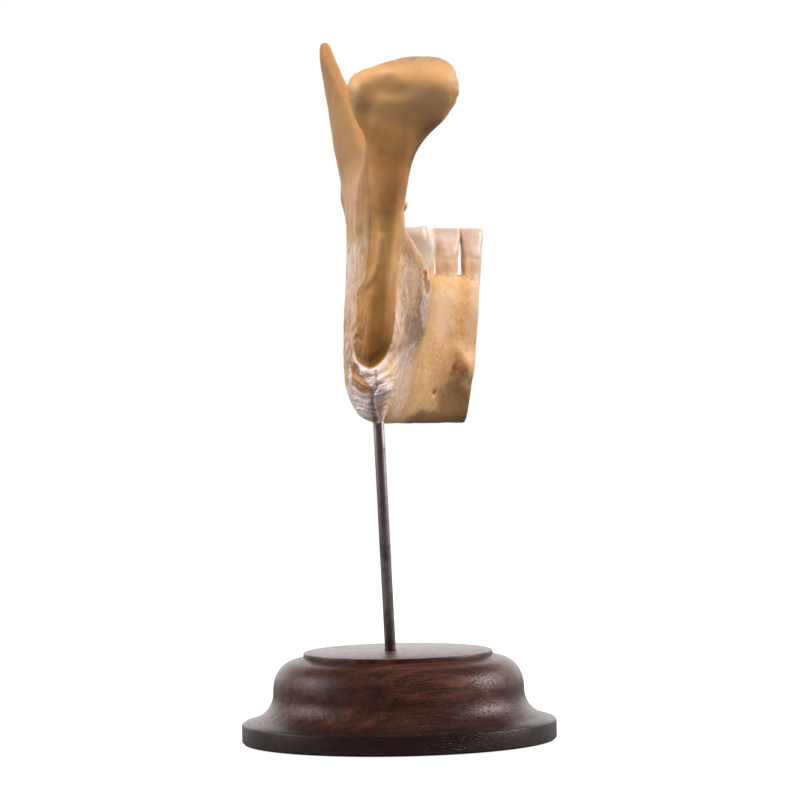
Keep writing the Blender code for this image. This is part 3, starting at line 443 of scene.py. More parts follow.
class Finish:
    def __init__(self, name):
        self.material = bpy.data.materials.new(name)
        self.material.use_nodes = True
        self.tree = self.material.node_tree
        self.shader = self.tree.nodes["Principled BSDF"]

    def node(self, kind, settings, sockets, output=0):
        made = self.tree.nodes.new(kind)
        for name, value in settings.items():
            setattr(made, name, value)
        for name, value in sockets.items():
            self.join(made.inputs[name], value)
        return Wire(self, made.outputs[output])

    def join(self, socket, value):
        if isinstance(value, Wire):
            self.tree.links.new(value.socket, socket)
        else:
            socket.default_value = value

    def place(self):
        return self.node("ShaderNodeTexCoord", {}, {}, output="Object")

    def painted(self, *names):
        kind = "ShaderNodeAttribute"
        return [self.node(kind, {"attribute_name": name}, {}, output="Fac") for name in names]

    def height(self, vector):
        return self.node("ShaderNodeSeparateXYZ", {}, {"Vector": vector}, output="Z")

    def stretched(self, vector, scale, turn=0.0):
        # turned about the upright axis, in degrees, and scaled along each axis
        sockets = {"Vector": vector, "Rotation": (0, 0, math.radians(turn)), "Scale": scale}
        return self.node("ShaderNodeMapping", {"vector_type": "POINT"}, sockets)

    def noise(self, vector, scale, detail=4.0, roughness=0.55, distortion=0.0):
        sockets = {
            "Vector": vector,
            "Scale": scale,
            "Detail": detail,
            "Roughness": roughness,
            "Distortion": distortion,
        }
        return self.node("ShaderNodeTexNoise", {}, sockets)

    def cells(self, vector, scale, feature="F1"):
        return self.node("ShaderNodeTexVoronoi", {"feature": feature}, {"Vector": vector, "Scale": scale})

    def mix(self, share, first, second):
        settings = {"data_type": "RGBA"}
        return self.node("ShaderNodeMix", settings, {0: share, 6: first, 7: second}, output=2)

    def blend(self, share, first, second):
        return first * (1 - share) + second * share

    def bump(self, height, distance, strength, under=None):
        sockets = {"Height": height, "Distance": distance, "Strength": strength}
        if under is not None:
            sockets["Normal"] = under
        return self.node("ShaderNodeBump", {}, sockets)

    def feed(self, **values):
        # wires and constants for the shader's own sockets
        for name, value in values.items():
            self.join(self.shader.inputs[name.replace("_", " ")], value)


def smoothRows(rows, steps):
    # rows of numbers thickened along a smooth curve through them
    rows = np.asarray(rows, float)
    padded = np.vstack([2 * rows[0] - rows[1], rows, 2 * rows[-1] - rows[-2]])
    made = []
    for i in range(1, len(padded) - 2):
        before, start, end, after = padded[i - 1 : i + 3]
        for t in np.linspace(0, 1, steps, endpoint=False):
            bend = t * t * (before - 2.5 * start + 2 * end - 0.5 * after)
            twist = t**3 * (1.5 * (start - end) + 0.5 * (after - before))
            made.append(start + 0.5 * t * (end - before) + bend + twist)
    made.append(rows[-1])
    return np.array(made)


def throughThree(values, share):
    # the parabola through values at 0, a half and 1
    first, middle, last = values
    rest = 1 - share
    return first * rest * (1 - 2 * share) + 4 * middle * share * rest + last * share * (2 * share - 1)


def roundedSine(angle, fullness):
    return np.sign(np.sin(angle)) * np.abs(np.sin(angle)) ** fullness


def jawPoint(point):
    # lateral, anterior, height in mm as a place in metres, before the jaw is mounted
    return Vector((-point[0] * mm, point[1] * mm, point[2] * mm))


def mountedJaw():
    roll = Euler((0, math.radians(mount["roll"]), 0)).to_matrix().to_4x4()
    toHead = Matrix.Translation(Vector(mount["rodHead"]) * mm)
    return toHead @ roll @ Matrix.Translation(-jawPoint(mount["seat"]))


def addLoft(bm, rings):
    # circles pushed to the rings' shapes, bridged one after another and closed at both ends
    loops = []
    for index, ring in enumerate(rings):
        closed = index in (0, len(rings) - 1)
        made = bmesh.ops.create_circle(bm, cap_ends=closed, segments=len(ring), radius=1.0)
        verts = made["verts"]
        for vert, point in zip(verts, ring):
            vert.co = jawPoint(point)
        loops.append(verts)
    for lower, upper in zip(loops, loops[1:]):
        edges = []
        for verts in (lower, upper):
            inside = set(verts)
            edges += [e for e in {e for v in verts for e in v.link_edges} if inside.issuperset(e.verts)]
        bmesh.ops.bridge_loops(bm, edges=edges)
    return [v for verts in loops for v in verts]


def turned(degrees):
    # the way ahead and the way to its right after a turn to the right
    across, forward = math.sin(math.radians(degrees)), math.cos(math.radians(degrees))
    return np.array([across, forward, 0.0]), np.array([forward, -across, 0.0])


def ringAngles(count):
    return np.linspace(0, 2 * math.pi, count, endpoint=False)


def bodyRings():
    rows = [low + rim + cheek + tongue for low, rim, cheek, tongue in bodySections.values()]
    rows = smoothRows(rows, bone["loftSteps"])
    middles = (rows[:, 0:2] + rows[:, 3:5]) / 2
    along = np.gradient(middles, axis=0)
    along /= np.linalg.norm(along, axis=1)[:, None]
    angle = ringAngles(bone["ringPoints"])
    up = (1 - np.cos(angle)) / 2
    side = roundedSine(angle, bone["bodyFullness"])
    rings = []
    for row, (lateral, anterior) in zip(rows, along):
        outward = np.array([-anterior, lateral, 0.0])
        half = np.where(side > 0, throughThree(row[6:9], up), throughThree(row[9:12], up)) * side
        rings.append(row[0:3] + np.outer(up, row[3:6] - row[0:3]) + np.outer(half, outward))
    return rings


def levelRings(sections):
    rows = [(height,) + back + front + half for height, back, front, half in sections.values()]
    angle = ringAngles(bone["ringPoints"])
    forward = (1 - np.cos(angle)) / 2
    side = roundedSine(angle, bone["ramusFullness"])
    rings = []
    for row in smoothRows(rows, bone["loftSteps"]):
        back, front = np.append(row[1:3], row[0]), np.append(row[3:5], row[0])
        run = (front - back) / np.linalg.norm(front - back)
        outward = np.array([run[1], -run[0], 0.0])
        half = throughThree(row[5:8], forward) * side
        rings.append(back + np.outer(forward, front - back) + np.outer(half, outward))
    return rings


def buttressRings():
    rows = smoothRows([centre + (radius,) for centre, radius in buttressSections], bone["loftSteps"])
    along = np.gradient(rows[:, 0:3], axis=0)
    angle = ringAngles(bone["ringPoints"])
    rings = []
    for row, run in zip(rows, along):
        across = np.cross(run, (0.0, 0.0, 1.0))
        across /= np.linalg.norm(across)
        upwards = np.cross(across, run)
        upwards /= np.linalg.norm(upwards)
        rings.append(row[0:3] + row[3] * (np.outer(np.cos(angle), across) + np.outer(np.sin(angle), upwards)))
    return rings


def condyleRings():
    rows = [centre + (wide, deep, turn) for centre, wide, deep, turn in condyleSections.values()]
    angle = ringAngles(bone["ringPoints"])
    rings = []
    for row in smoothRows(rows, bone["loftSteps"]):
        forward, across = turned(-row[5])
        wide = np.outer(row[3] * np.cos(angle), across)
        deep = np.outer(row[4] * np.sin(angle), forward)
        rings.append(row[0:3] + wide + deep)
    return rings


def meshFrom(bm, name):
    mesh = bpy.data.meshes.new(name)
    bm.to_mesh(mesh)
    bm.free()
    return mesh


def newObject(name, mesh):
    made = bpy.data.objects.new(name, mesh)
    bpy.context.scene.collection.objects.link(made)
    return made


def applyModifiers(obj):
    graph = bpy.context.evaluated_depsgraph_get()
    made = bpy.data.meshes.new_from_object(obj.evaluated_get(graph))
    obj.modifiers.clear()
    obj.data = made


class Surface:
    # a mesh's points and normals in the jaw's own frame, in mm
    def __init__(self, mesh):
        self.mesh = mesh
        self.read()

    def read(self):
        count = len(self.mesh.vertices)
        points, normals = np.empty(count * 3), np.empty(count * 3)
        self.mesh.vertices.foreach_get("co", points)
        self.mesh.vertex_normals.foreach_get("vector", normals)
        turn = np.array([-1.0, 1.0, 1.0])
        self.points = points.reshape(-1, 3) * turn / mm
        self.normals = normals.reshape(-1, 3) * turn

    def move(self, points):
        self.mesh.vertices.foreach_set("co", (points * np.array([-mm, mm, mm])).ravel())
        self.mesh.update()
        self.read()

    def behind(self):
        # across and height, and how much each point belongs to the back of the ramus
        lateral, anterior, height = self.points.T
        right = turned(seenFromBehind["turn"])[1]
        middle = seenFromBehind["middle"]
        aside = middle[0] - lateral + seenFromBehind["roll"] * height
        across = aside * right[0] + (anterior - middle[1]) * right[1]
        facing = self.faces((0.15, -1, 0), 0.05)
        return np.stack([across, height], axis=1), np.clip(facing * 3, 0, 1) * step(14 - anterior, 0, 5)

    def push(self, rise, direction=None):
        # along one direction, or along each normal
        if direction is None:
            self.move(self.points + self.normals * rise[:, None])
        else:
            self.move(self.points + np.outer(rise, direction))

    def near(self, at, reach):
        apart = (self.points - np.array(at)) / np.array(reach)
        return np.exp(-(apart**2).sum(axis=1))

    def faces(self, direction, least=0.0):
        return np.clip((self.normals @ unit(direction) - least) / (1 - least), 0, 1)

    def toLine(self, line):
        # how far each point is from a line, in mm
        nearest = np.full(len(self.points), np.inf)
        for start, end in zip(line, line[1:]):
            run = end - start
            share = np.clip((self.points - start) @ run / (run @ run), 0, 1)
            gap = np.linalg.norm(self.points - start - np.outer(share, run), axis=1)
            nearest = np.minimum(nearest, gap)
        return nearest

    def rough(self, size, octaves, seed=0.0):
        # fractal noise at each point; size is that of its lumps, in mm
        at = self.points / size + seed
        return np.array([noise.fractal(Vector(p), 1.0, 2.0, octaves) for p in at])

    def paint(self, name, values):
        layer = self.mesh.attributes.new(name, "FLOAT", "POINT")
        layer.data.foreach_set("value", np.clip(values, 0, 1).astype(np.float32))


def unit(vector):
    return np.asarray(vector, float) / np.linalg.norm(vector)


def toOutline(places, outline, closed=True, along=False):
    # signed distance to an outline drawn on a plane, above 0 inside it, and how far along it that is
    line = smoothRows(outline, 4)
    ends = np.roll(line, -1, axis=0) if closed else line[1:]
    nearest = np.full(len(places), np.inf)
    inside = np.zeros(len(places), bool)
    reached, passed = np.zeros(len(places)), 0.0
    for start, end in zip(line, ends):
        run = end - start
        share = np.clip((places - start) @ run / max(run @ run, 1e-9), 0, 1)
        gap = np.linalg.norm(places - start - np.outer(share, run), axis=1)
        reached = np.where(gap < nearest, passed + share * np.linalg.norm(run), reached)
        nearest = np.minimum(nearest, gap)
        passed += np.linalg.norm(run)
        crosses = (start[1] > places[:, 1]) != (end[1] > places[:, 1])
        slope = run[0] / (run[1] if abs(run[1]) > 1e-9 else 1e-9)
        inside ^= crosses & (places[:, 0] < start[0] + slope * (places[:, 1] - start[1]))
    signed = np.where(inside & closed, nearest, -nearest)
    return (signed, reached) if along else signed


def bell(gap, width):
    # 1 where the gap is none, fading over the width on both sides
    return np.exp(-((gap / width) ** 2))


def step(values, low, high):
    share = np.clip((values - low) / (high - low), 0, 1)
    return share * share * (3 - 2 * share)


def neighbourPull(mesh):
    # from each point to the middle of its neighbours
    size = len(mesh.vertices)
    ends = np.empty(len(mesh.edges) * 2, int)
    mesh.edges.foreach_get("vertices", ends)
    ends = ends.reshape(-1, 2)
    here = np.concatenate([ends[:, 0], ends[:, 1]])
    there = np.concatenate([ends[:, 1], ends[:, 0]])
    count = np.bincount(here, minlength=size)[:, None]

    def pull(points):
        total = [np.bincount(here, points[there, k], size) for k in range(3)]
        return np.stack(total, axis=1) / count - points

    return pull


def fillCreases(mesh):
    # rounds the hollow creases between the forms and leaves outer edges nearly as they are
    surface = Surface(mesh)
    pull = neighbourPull(mesh)
    for _ in range(bone["creasePasses"]):
        shift = pull(surface.points)
        hollow = (shift * surface.normals).sum(axis=1) > 0
        share = np.where(hollow, bone["creasePull"], bone["edgePull"])
        surface.move(surface.points + shift * share[:, None])


def fuseForms():
    bm = bmesh.new()
    for rings in (
        bodyRings(),
        levelRings(ramusSections),
        buttressRings(),
        levelRings(coronoidSections),
        condyleRings(),
    ):
        addLoft(bm, rings)
    bmesh.ops.recalc_face_normals(bm, faces=bm.faces)
    fused = newObject("jawbone_finish", meshFrom(bm, "jawbone_finish"))
    remesh = fused.modifiers.new("Fuse", "REMESH")
    remesh.mode = "VOXEL"
    remesh.voxel_size = bone["voxel"] * mm
    blend = fused.modifiers.new("Blend", "SMOOTH")
    blend.factor = 0.5
    blend.iterations = bone["smoothPasses"]
    applyModifiers(fused)
    fillCreases(fused.data)
    return fused


# Where the mesh is halved: below this height, and this far inside and outside the border, in mm
halved = {"below": 46, "inside": 2.2, "outside": 9.5, "passes": 2}


def refineBack(mesh):
    # halves the mesh round the smooth border and on the lip, where the small folds are
    surface = Surface(mesh)
    places, back = surface.behind()
    border = toOutline(places, backMarks["smooth border"])
    wanted = (back > 0.1) & (places[:, 1] < halved["below"])
    wanted &= (border < halved["inside"]) & (border > -halved["outside"])
    bm = bmesh.new()
    bm.from_mesh(mesh)
    bm.verts.ensure_lookup_table()
    edges = [e for e in bm.edges if wanted[e.verts[0].index] and wanted[e.verts[1].index]]
    bmesh.ops.subdivide_edges(bm, edges=edges, cuts=1, use_grid_fill=True, smooth=0.0)
    bm.to_mesh(mesh)
    bm.free()
    surface = Surface(mesh)
    pull = neighbourPull(mesh)
    for _ in range(halved["passes"]):
        surface.move(surface.points + 0.5 * pull(surface.points))


def shapeRelief(surface):
    for at, reach, facing, rise in touches.values():
        facing = unit(facing)
        surface.push(surface.near(at, reach) * surface.faces(facing) * rise, facing)
    for points, width, facing, rise in ridges.values():
        facing = unit(facing)
        share = bell(surface.toLine(smoothRows(points, 8)), width)
        surface.push(share * surface.faces(facing) * rise, facing)
    for _, middle, width, depth, turn in teeth.values():
        # each root swells the bone on both sides, and the rim dips in front of it
        outward = turned(turn)[0]
        for facing in (outward, -outward):
            at = np.array(middle + (24.0,)) + facing * (depth / 2 + 1)
            swell = surface.near(at, (width / 2.6, width / 2.6, 6)) * surface.faces(facing)
            surface.push(swell * tooth["swell"], facing)
        at = middle + (bone["crestHeight"],)
        surface.push(-surface.near(at, (width / 2.2, width / 2.2, 3)) * tooth["dip"], (0, 0, 1))


def shapeRoughness(surface):
    # broad unevenness everywhere
    surface.push(surface.rough(9, 3) * 0.16)
    surface.push(surface.rough(2.6, 2, 7.0) * 0.06)

    # the smooth back border: a crisp edge on each side, and a slanting line across it
    places, back = surface.behind()
    border = toOutline(places, backMarks["smooth border"])
    low = step(46 - places[:, 1], 0, 10)
    surface.push(bell(border + 0.5, 0.55) * back * low * 0.38)
    surface.push(-bell(border - 0.9, 1.0) * back * low * 0.30)
    across = toOutline(places, backMarks["line across it"], closed=False)
    surface.push(bell(across, 0.75) * back * 0.45)

    # the rough lip: torn fibres that run round the lower end of the border, which dives under it
    below = angleField(surface)
    under = bell(border - 1.0, 1.5) * back * step(17 - places[:, 1], 0, 3.5)
    surface.push(-under * 1.0, (0, -1, 0))
    away = -border
    along = places[:, 0] * 0.8 + places[:, 1] * 0.5
    slack = surface.rough(5, 2, 3.0)
    for width, length, rise, seed in ((0.95, 7, 0.42, 0.0), (0.45, 3.5, 0.22, 40.0)):
        spots = np.stack([(away + slack) / width, along / length, np.full(len(away), seed)], axis=1)
        streak = np.array([noise.fractal(Vector(p), 1.0, 2.0, 2) for p in spots])
        surface.push(below * streak * rise)
    for fold, rise in (("fold of the lip", 0.5), ("second fold", 0.4)):
        gap = toOutline(places, backMarks[fold], closed=False)
        surface.push(bell(gap, 0.42) * back * rise)
    surface.push(below * surface.rough(1.1, 2, 5.0) * 0.06)

    # muscle ridges on both sides of the angle, slanting down and back
    for facing, at, reach in (
        ((1, 0, 0), (50, 9, 14), (6, 12, 10)),
        ((-1, 0, 0), (41, 9, 13), (6, 12, 10)),
    ):
        field = surface.near(at, reach) * surface.faces(facing, 0.2)
        slant = surface.points @ np.array([0, 0.75, 0.66])
        warp = surface.rough(4, 3, 11.0)
        surface.push(field * np.sin(math.pi * (slant + warp * 2.4) / 1.6) * 0.16)

    # the split above the rod, wider towards it
    gap = toOutline(places, backMarks["crack"], closed=False)
    width = 0.26 + 0.5 * step(-places[:, 1], -6.0, -0.5)
    surface.push(-bell(gap, width) * back * (0.4 + 0.6 * step(8 - places[:, 1], 0, 5)))

    # pitted socket rim and condyle
    rim = bell(surface.points[:, 2] - 29.0, 2.2) * step(surface.points[:, 1], 26, 32)
    surface.push(rim * surface.rough(1.2, 3, 17.0) * 0.10)
    pole = surface.near((37.5, -25, 65), (3.5, 4, 4)) + surface.near((57, -20, 66), (3, 4, 4))
    surface.push(pole * surface.rough(1.4, 3, 23.0) * 0.3)


def angleField(surface):
    # 1 on the rough lip of the angle, fading out round it
    places, _ = surface.behind()
    lateral, anterior, height = surface.points.T
    away = -toOutline(places, backMarks["smooth border"])
    cheek = step(lateral, 44, 49)
    top = 13.5 * cheek + 27 * (1 - cheek) + surface.rough(3, 3, 37.0) * 3
    furthest = 12 + 14 * (1 - cheek)
    near = cheek + 0.6 * (1 - cheek) * bell(away, 2.0) ** step(height, 8, 15)
    return step(away, -0.3, 0.15) * near * step(top - height, -4, 4) * step(furthest - anterior, 0, 7)


def sawAtMidline(jaw):
    # takes away what lies past the midline with a block whose near side is a fine grid
    lean = math.radians(bone["cutLean"])
    facing = Vector((math.cos(lean), 0, -math.sin(lean)))
    middle = bone["crestHeight"] / 2
    at = jawPoint((bone["cutAtCrest"] + math.tan(lean) * middle, 78, middle))
    place = Matrix.Translation(at) @ facing.to_track_quat("Z", "Y").to_matrix().to_4x4()
    bm = bmesh.new()
    bmesh.ops.create_grid(bm, x_segments=110, y_segments=110, size=24 * mm)
    block = bmesh.ops.extrude_face_region(bm, geom=bm.faces[:], use_keep_orig=True)
    far = [g for g in block["geom"] if isinstance(g, bmesh.types.BMVert)]
    bmesh.ops.translate(bm, verts=far, vec=(0, 0, 30 * mm))
    bmesh.ops.transform(bm, matrix=place, verts=bm.verts)
    bmesh.ops.recalc_face_normals(bm, faces=bm.faces)
    saw = newObject("saw", meshFrom(bm, "saw"))
    cut = jaw.modifiers.new("Saw", "BOOLEAN")
    cut.operation = "DIFFERENCE"
    cut.solver = "MANIFOLD"
    cut.object = saw
    applyModifiers(jaw)
    bpy.data.objects.remove(saw)
    roughenSawnFace(jaw.data, at, facing)


def roughenSawnFace(mesh, at, facing):
    # the solid outer bone stands, and the spongy bone inside it is pitted
    slack = 0.002 * mm
    bm = bmesh.new()
    bm.from_mesh(mesh)
    bmesh.ops.remove_doubles(bm, verts=bm.verts, dist=slack)
    depth = bm.verts.layers.float.new("sawDepth")
    onCut = {v for v in bm.verts if abs((v.co - at).dot(facing)) < slack}
    rim = [v for v in onCut if any(e.other_vert(v) not in onCut for e in v.link_edges)]
    inside = [v for v in onCut if v not in set(rim)]
    rimPlaces = np.array([v.co[:] for v in rim])
    for vert in inside:
        gap = np.linalg.norm(rimPlaces - np.array(vert.co[:]), axis=1).min() / mm
        edge = bone["cortexWidth"] * (1 + 0.35 * noise.noise(vert.co * 260))
        spongy = min(max((gap - edge) / 0.5, 0), 1)
        vert[depth] = 0.1 + 0.4 * min(gap / edge, 1) + 0.5 * spongy
        holes = abs(noise.noise(vert.co * 900)) + 0.5 * noise.noise(vert.co * 2100)
        vert.co -= facing * spongy * (0.25 + 0.5 * holes) * mm
    bm.to_mesh(mesh)
    bm.free()


def paintBone(mesh):
    surface = Surface(mesh)
    _, anterior, height = surface.points.T

    # smooth brown back border, neck and head
    places, behind = surface.behind()
    border, along = toOutline(places, backMarks["smooth border"], along=True)
    onBorder = step(border, -0.2, 0.2) * np.clip(behind * 2, 0, 1)
    neck = step(height, 50, 56) * step(-6 - anterior, -4, 2)
    layers = {"strip": np.maximum(onBorder, neck)}

    # chalky worn bone on the lip and the lower border
    chalk = angleField(surface) * (0.8 + 0.5 * surface.rough(3, 3, 31.0))
    lower = step(2.2 - height, 0, 3.0) * (0.7 + 0.6 * surface.rough(4, 3, 33.0))
    lower = lower * step(34 - anterior, 0, 16)
    behindTeeth = surface.near((33, 26, 36), (5, 6, 5)) * 0.5
    layers["chalk"] = np.maximum.reduce([chalk, lower, behindTeeth])

    # rusty stain: cheek side of the angle, socket rim, round the genial spine
    side = surface.near((51.5, 4, 17), (3, 8, 7)) * surface.faces((1, -0.4, 0)) * 0.5
    socket = bell(height - 30.2, 1.0) * step(anterior, 60, 70) * 0.6
    genial = surface.near((5.2, 74, 8.8), (1.6, 4, 2.0)) * 0.6
    layers["rust"] = np.maximum.reduce([side, socket, genial])

    # painted shade, deep brown, where the border dives under the lip, under the head, and in the band under
    # the knob and the outer pole
    under = step(border, 0.0, 0.5) * step(17 - height, 0, 6) * behind
    shadeUnderHead = surface.near((42.0, -20, 57.6), (4.0, 6, 3.4))
    shadeUnderHead = shadeUnderHead + surface.near((44.4, -15, 52.0), (1.8, 5, 4.5))
    shadeUnderHead = shadeUnderHead * surface.faces((-0.6, -0.6, -0.4)) * 0.9
    # painted shade in the fold under the knob and in the hollow under the outer pole
    band = surface.near((50.6, -24, 64.4), (3.0, 4, 1.2)) * 0.34
    band = band + surface.near((55.6, -21, 61.2), (1.8, 4, 2.6)) * 0.5
    layers["shade"] = np.maximum.reduce([under, shadeUnderHead, band])
    layers["taupe"] = np.zeros(len(height))
    # grey starts as a painted sheen greying the top of the head
    layers["grey"] = surface.near((46, -22, 71.2), (9.0, 6, 2.2)) * 0.45
    # pale: painted highlights on the facet of the outer pole, the knob of the head and the raised line across
    # the border, and painted light on the front of the head and the upper border
    layers["pale"] = np.maximum.reduce([
        surface.near((57.5, -20.5, 64.6), (0.8, 3, 3.0)) * 0.8,
        surface.near((52.8, -24.8, 68.2), (1.5, 3, 0.8)) * 0.55,
        surface.near((46.5, -26, 62.8), (6.0, 5, 4.6)) * 0.4,
        surface.near((48.6, -14, 43), (3.5, 5, 6)) * 0.15,
        bell(toOutline(places, backMarks["line across it"], closed=False), 0.6) * behind * 0.45,
    ])
    # upper: marks the upper ramus and coronoid, which are painted darker as painted shade
    layers["upper"] = step(height, 32, 54) * (1 - neck) * (1 - onBorder)

    seen = step(-surface.normals @ turned(-seenFromBehind["turn"])[0], -0.15, 0.1)
    ragged = surface.rough(2.0, 3, 41.0) * 0.9
    for outline, soft, (nearest, furthest), layer, strength in patches.values():
        inside = step(toOutline(places, outline) + ragged * min(soft, 1.2), -soft, soft)
        inside = inside * step(anterior, nearest - 3, nearest) * step(furthest - anterior, 0, 12)
        layers[layer] = np.maximum(layers[layer], inside * seen * strength)
    layers["shade"] = np.maximum(layers["shade"] * (1 - layers["chalk"] * 0.5), under)
    layers["chalk"] = layers["chalk"] * (1 - 0.85 * step(layers["rust"], 0.3, 0.8)) * (1 - layers["strip"])

    # painted shade in hollows, found from how the surface bends, and a painted shadow in the split
    pull = neighbourPull(mesh)
    bend = (pull(surface.points) * surface.normals).sum(axis=1)
    gap = toOutline(places, backMarks["crack"], closed=False)
    line = bell(gap, 0.2 + 0.4 * step(4 - height, 0, 5)) * behind
    layers["creaseShade"] = np.clip(bend / 0.10, 0, 0.4) + line * (0.4 + 0.6 * step(8 - height, 0, 4))
    layers["ramus"] = step(12 - anterior + (height - 30) * 0.4, -6, 6)

    # the streaks run beside the border and round its end: how far from it, and along it
    layers["flowAway"] = 0.5 + border / bone["flowSpan"]
    layers["flowAlong"] = along / bone["flowSpan"]
    layers["flow"] = step(26 - anterior, 0, 14) * step(54 - height, 0, 8)
    for name, values in layers.items():
        surface.paint(name, values)


def boneFinish():
    finish = Finish("dry bone")
    at = finish.place()
    strip, chalk, pale, rust, shade, creaseShade = finish.painted("strip", "chalk", "pale", "rust", "shade", "creaseShade")
    grey, taupe, upper, ramus, saw = finish.painted("grey", "taupe", "upper", "ramus", "sawDepth")
    flow, flowAway, flowAlong = finish.painted("flow", "flowAway", "flowAlong")

    # fibres: along the body, up the ramus, and beside the back border and round its lower end
    warp = finish.noise(at, 180.0, 2.0)
    away = flowAway * bone["flowSpan"] + warp * 2.2
    along = flowAlong * bone["flowSpan"]
    upright = finish.stretched(at, (1500, 1500, 110))
    lengthwise = finish.stretched(at, (1500, 120, 1500), -22)
    fibre = finish.noise(upright, 1.0, 3.0) * ramus + finish.noise(lengthwise, 1.0, 3.0) * (1 - ramus)
    beside = finish.node("ShaderNodeCombineXYZ", {}, {"X": away * 1.5, "Y": along * 0.16})
    finer = finish.node("ShaderNodeCombineXYZ", {}, {"X": away * 4.2, "Y": along * 0.35, "Z": 3.7})
    folds, threads = finish.noise(beside, 1.0, 3.0, 0.6), finish.noise(finer, 1.0, 2.0)
    streak = finish.blend(flow, fibre, folds * 0.6 + threads * 0.4)
    calm = 0.5 + (streak - 0.5) * (0.5 + 0.5 * flow)
    cloud = finish.noise(at, 95.0, 3.0)
    mottle = finish.noise(at, 420.0, 4.0)
    grit = finish.noise(at, 2600.0, 3.0, 0.6)

    ochre, tan, light = srgb(196, 144, 88), srgb(212, 166, 114), srgb(228, 190, 150)
    colour = finish.mix(cloud.between(0.35, 0.65), ochre, tan)
    colour = finish.mix(streak.between(0.45, 0.7) * (0.35 + 0.3 * flow), colour, light)
    colour = finish.mix(streak.between(0.45, 0.30) * (0.25 + 0.35 * flow), colour, srgb(164, 112, 66))
    colour = finish.mix(mottle.between(0.6, 0.75) * 0.15, colour, srgb(178, 124, 72))
    # painted shade: the upper ramus and coronoid darker
    colour = finish.mix(upper * 0.75, colour, srgb(172, 120, 66))
    brown = finish.mix(cloud.between(0.3, 0.7), srgb(184, 126, 66), srgb(218, 160, 94))
    # the smooth border is painted darker where it dives under the lip, a painted shade, and the head paler
    # and greyer towards its top, a painted sheen
    height = finish.height(at)
    brown = finish.mix(height.between(0.092, 0.078) * 0.85, brown, srgb(150, 94, 24))
    brown = finish.mix(height.between(0.117, 0.127) * 0.55, brown, srgb(216, 166, 118))
    brown = finish.mix(height.between(0.129, 0.136) * 0.9, brown, srgb(158, 134, 104))
    colour = finish.mix(strip * 0.94, colour, brown)
    # painted highlights and painted light from the pale layer
    colour = finish.mix(pale.between(0.05, 1.0) * 0.8, colour, srgb(228, 192, 156))
    dun = finish.mix(calm.between(0.36, 0.62), srgb(122, 86, 56), srgb(180, 142, 112))
    colour = finish.mix(taupe * 0.85, colour, dun)
    # grey: a painted sheen on the head's top, and grey-brown bone with painted shade in the hollow behind the
    # tooth row
    greyed = finish.mix(calm.between(0.36, 0.6), srgb(98, 70, 52), srgb(160, 128, 108))
    colour = finish.mix(grey * 0.85, colour, greyed)
    stain = finish.mix(streak.between(0.4, 0.6), srgb(146, 96, 60), srgb(198, 144, 104))
    colour = finish.mix((rust * (0.5 + mottle)).between(0.1, 0.8) * 0.85, colour, stain)
    chalky = finish.mix(calm.between(0.32, 0.52), srgb(196, 164, 152), srgb(244, 228, 226))
    colour = finish.mix((chalk * (0.6 + calm * 0.8)).between(0.2, 0.85) * 0.92, colour, chalky)
    # painted shade and shadow, with some brown stain on the chin, from the shade layer
    colour = finish.mix(shade.between(0.05, 1.0) * 0.85, colour, srgb(94, 55, 22))
    # painted shade in creases and a painted shadow in the split
    colour = finish.mix(creaseShade.between(0.15, 1.0) * 0.8, colour, srgb(88, 56, 34))
    pits = finish.cells(at, 780.0).between(0.10, 0.02) * finish.noise(at, 160.0).between(0.55, 0.65)
    colour = finish.mix(pits * 0.5 * (1 - strip), colour, srgb(110, 72, 44))

    web = finish.cells(at, 900.0, "DISTANCE_TO_EDGE").between(0.02, 0.16)
    spongy = finish.mix(web, srgb(226, 196, 154), srgb(112, 74, 44))
    sawn = finish.mix(saw.between(0.7, 0.95), srgb(222, 188, 142), spongy)
    colour = finish.mix(saw.between(0.02, 0.12), colour, sawn)

    fine = finish.bump(streak * 0.5 + grit * 0.12 + mottle * 0.2 - pits * 0.8, 0.0004, 0.3)
    torn = finish.bump(calm * (chalk + grey * 0.4 + flow * 0.15) * (1 - strip), 0.0009, 0.7, fine)
    sponge = finish.bump((1 - web) * saw.between(0.7, 0.95), 0.0012, 1.0, torn)
    rough = 0.54 + chalk * 0.24 - strip * 0.06 + mottle * 0.12
    finish.feed(Base_Color=colour, Roughness=rough, Normal=sponge, Specular_IOR_Level=0.36)
    finish.feed(Subsurface_Weight=0.05, Subsurface_Radius=(0.0015, 0.0008, 0.0004), Subsurface_Scale=1.0)
    return finish.material


def makeBone():
    fused = fuseForms()
    surface = Surface(fused.data)
    shapeRelief(surface)
    refineBack(fused.data)
    surface = Surface(fused.data)
    shapeRoughness(surface)
    sawAtMidline(fused)
    paintBone(fused.data)
    fused.data.transform(mountedJaw())
    fused.data.shade_smooth()
    fused.data.set_sharp_from_angle(angle=math.radians(55))
    fused.data.materials.clear()
    fused.data.materials.append(boneFinish())
    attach(fused, "root")
    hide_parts("jawbone")


def toothRings(kind, middle, width, depth, turn):
    outward, along = turned(turn)
    angle = ringAngles(tooth["ringPoints"])
    rings = []
    for height, widthShare, depthShare, shift in smoothRows(np.transpose(toothProfiles[kind]), 3):
        ofCrown = step(height, 33, 38)
        square = tooth["rootRoundness"] * (1 - ofCrown) + tooth["squareness"] * ofCrown
        wide = roundedSine(angle + math.pi / 2, square)
        deep = roundedSine(angle, square)
        centre = np.array(middle + (height,)) + outward * shift * depth
        beside = np.outer(wide * width * widthShare / 2, along)
        rings.append(centre + beside + np.outer(deep * depth * depthShare / 2, outward))
    return rings


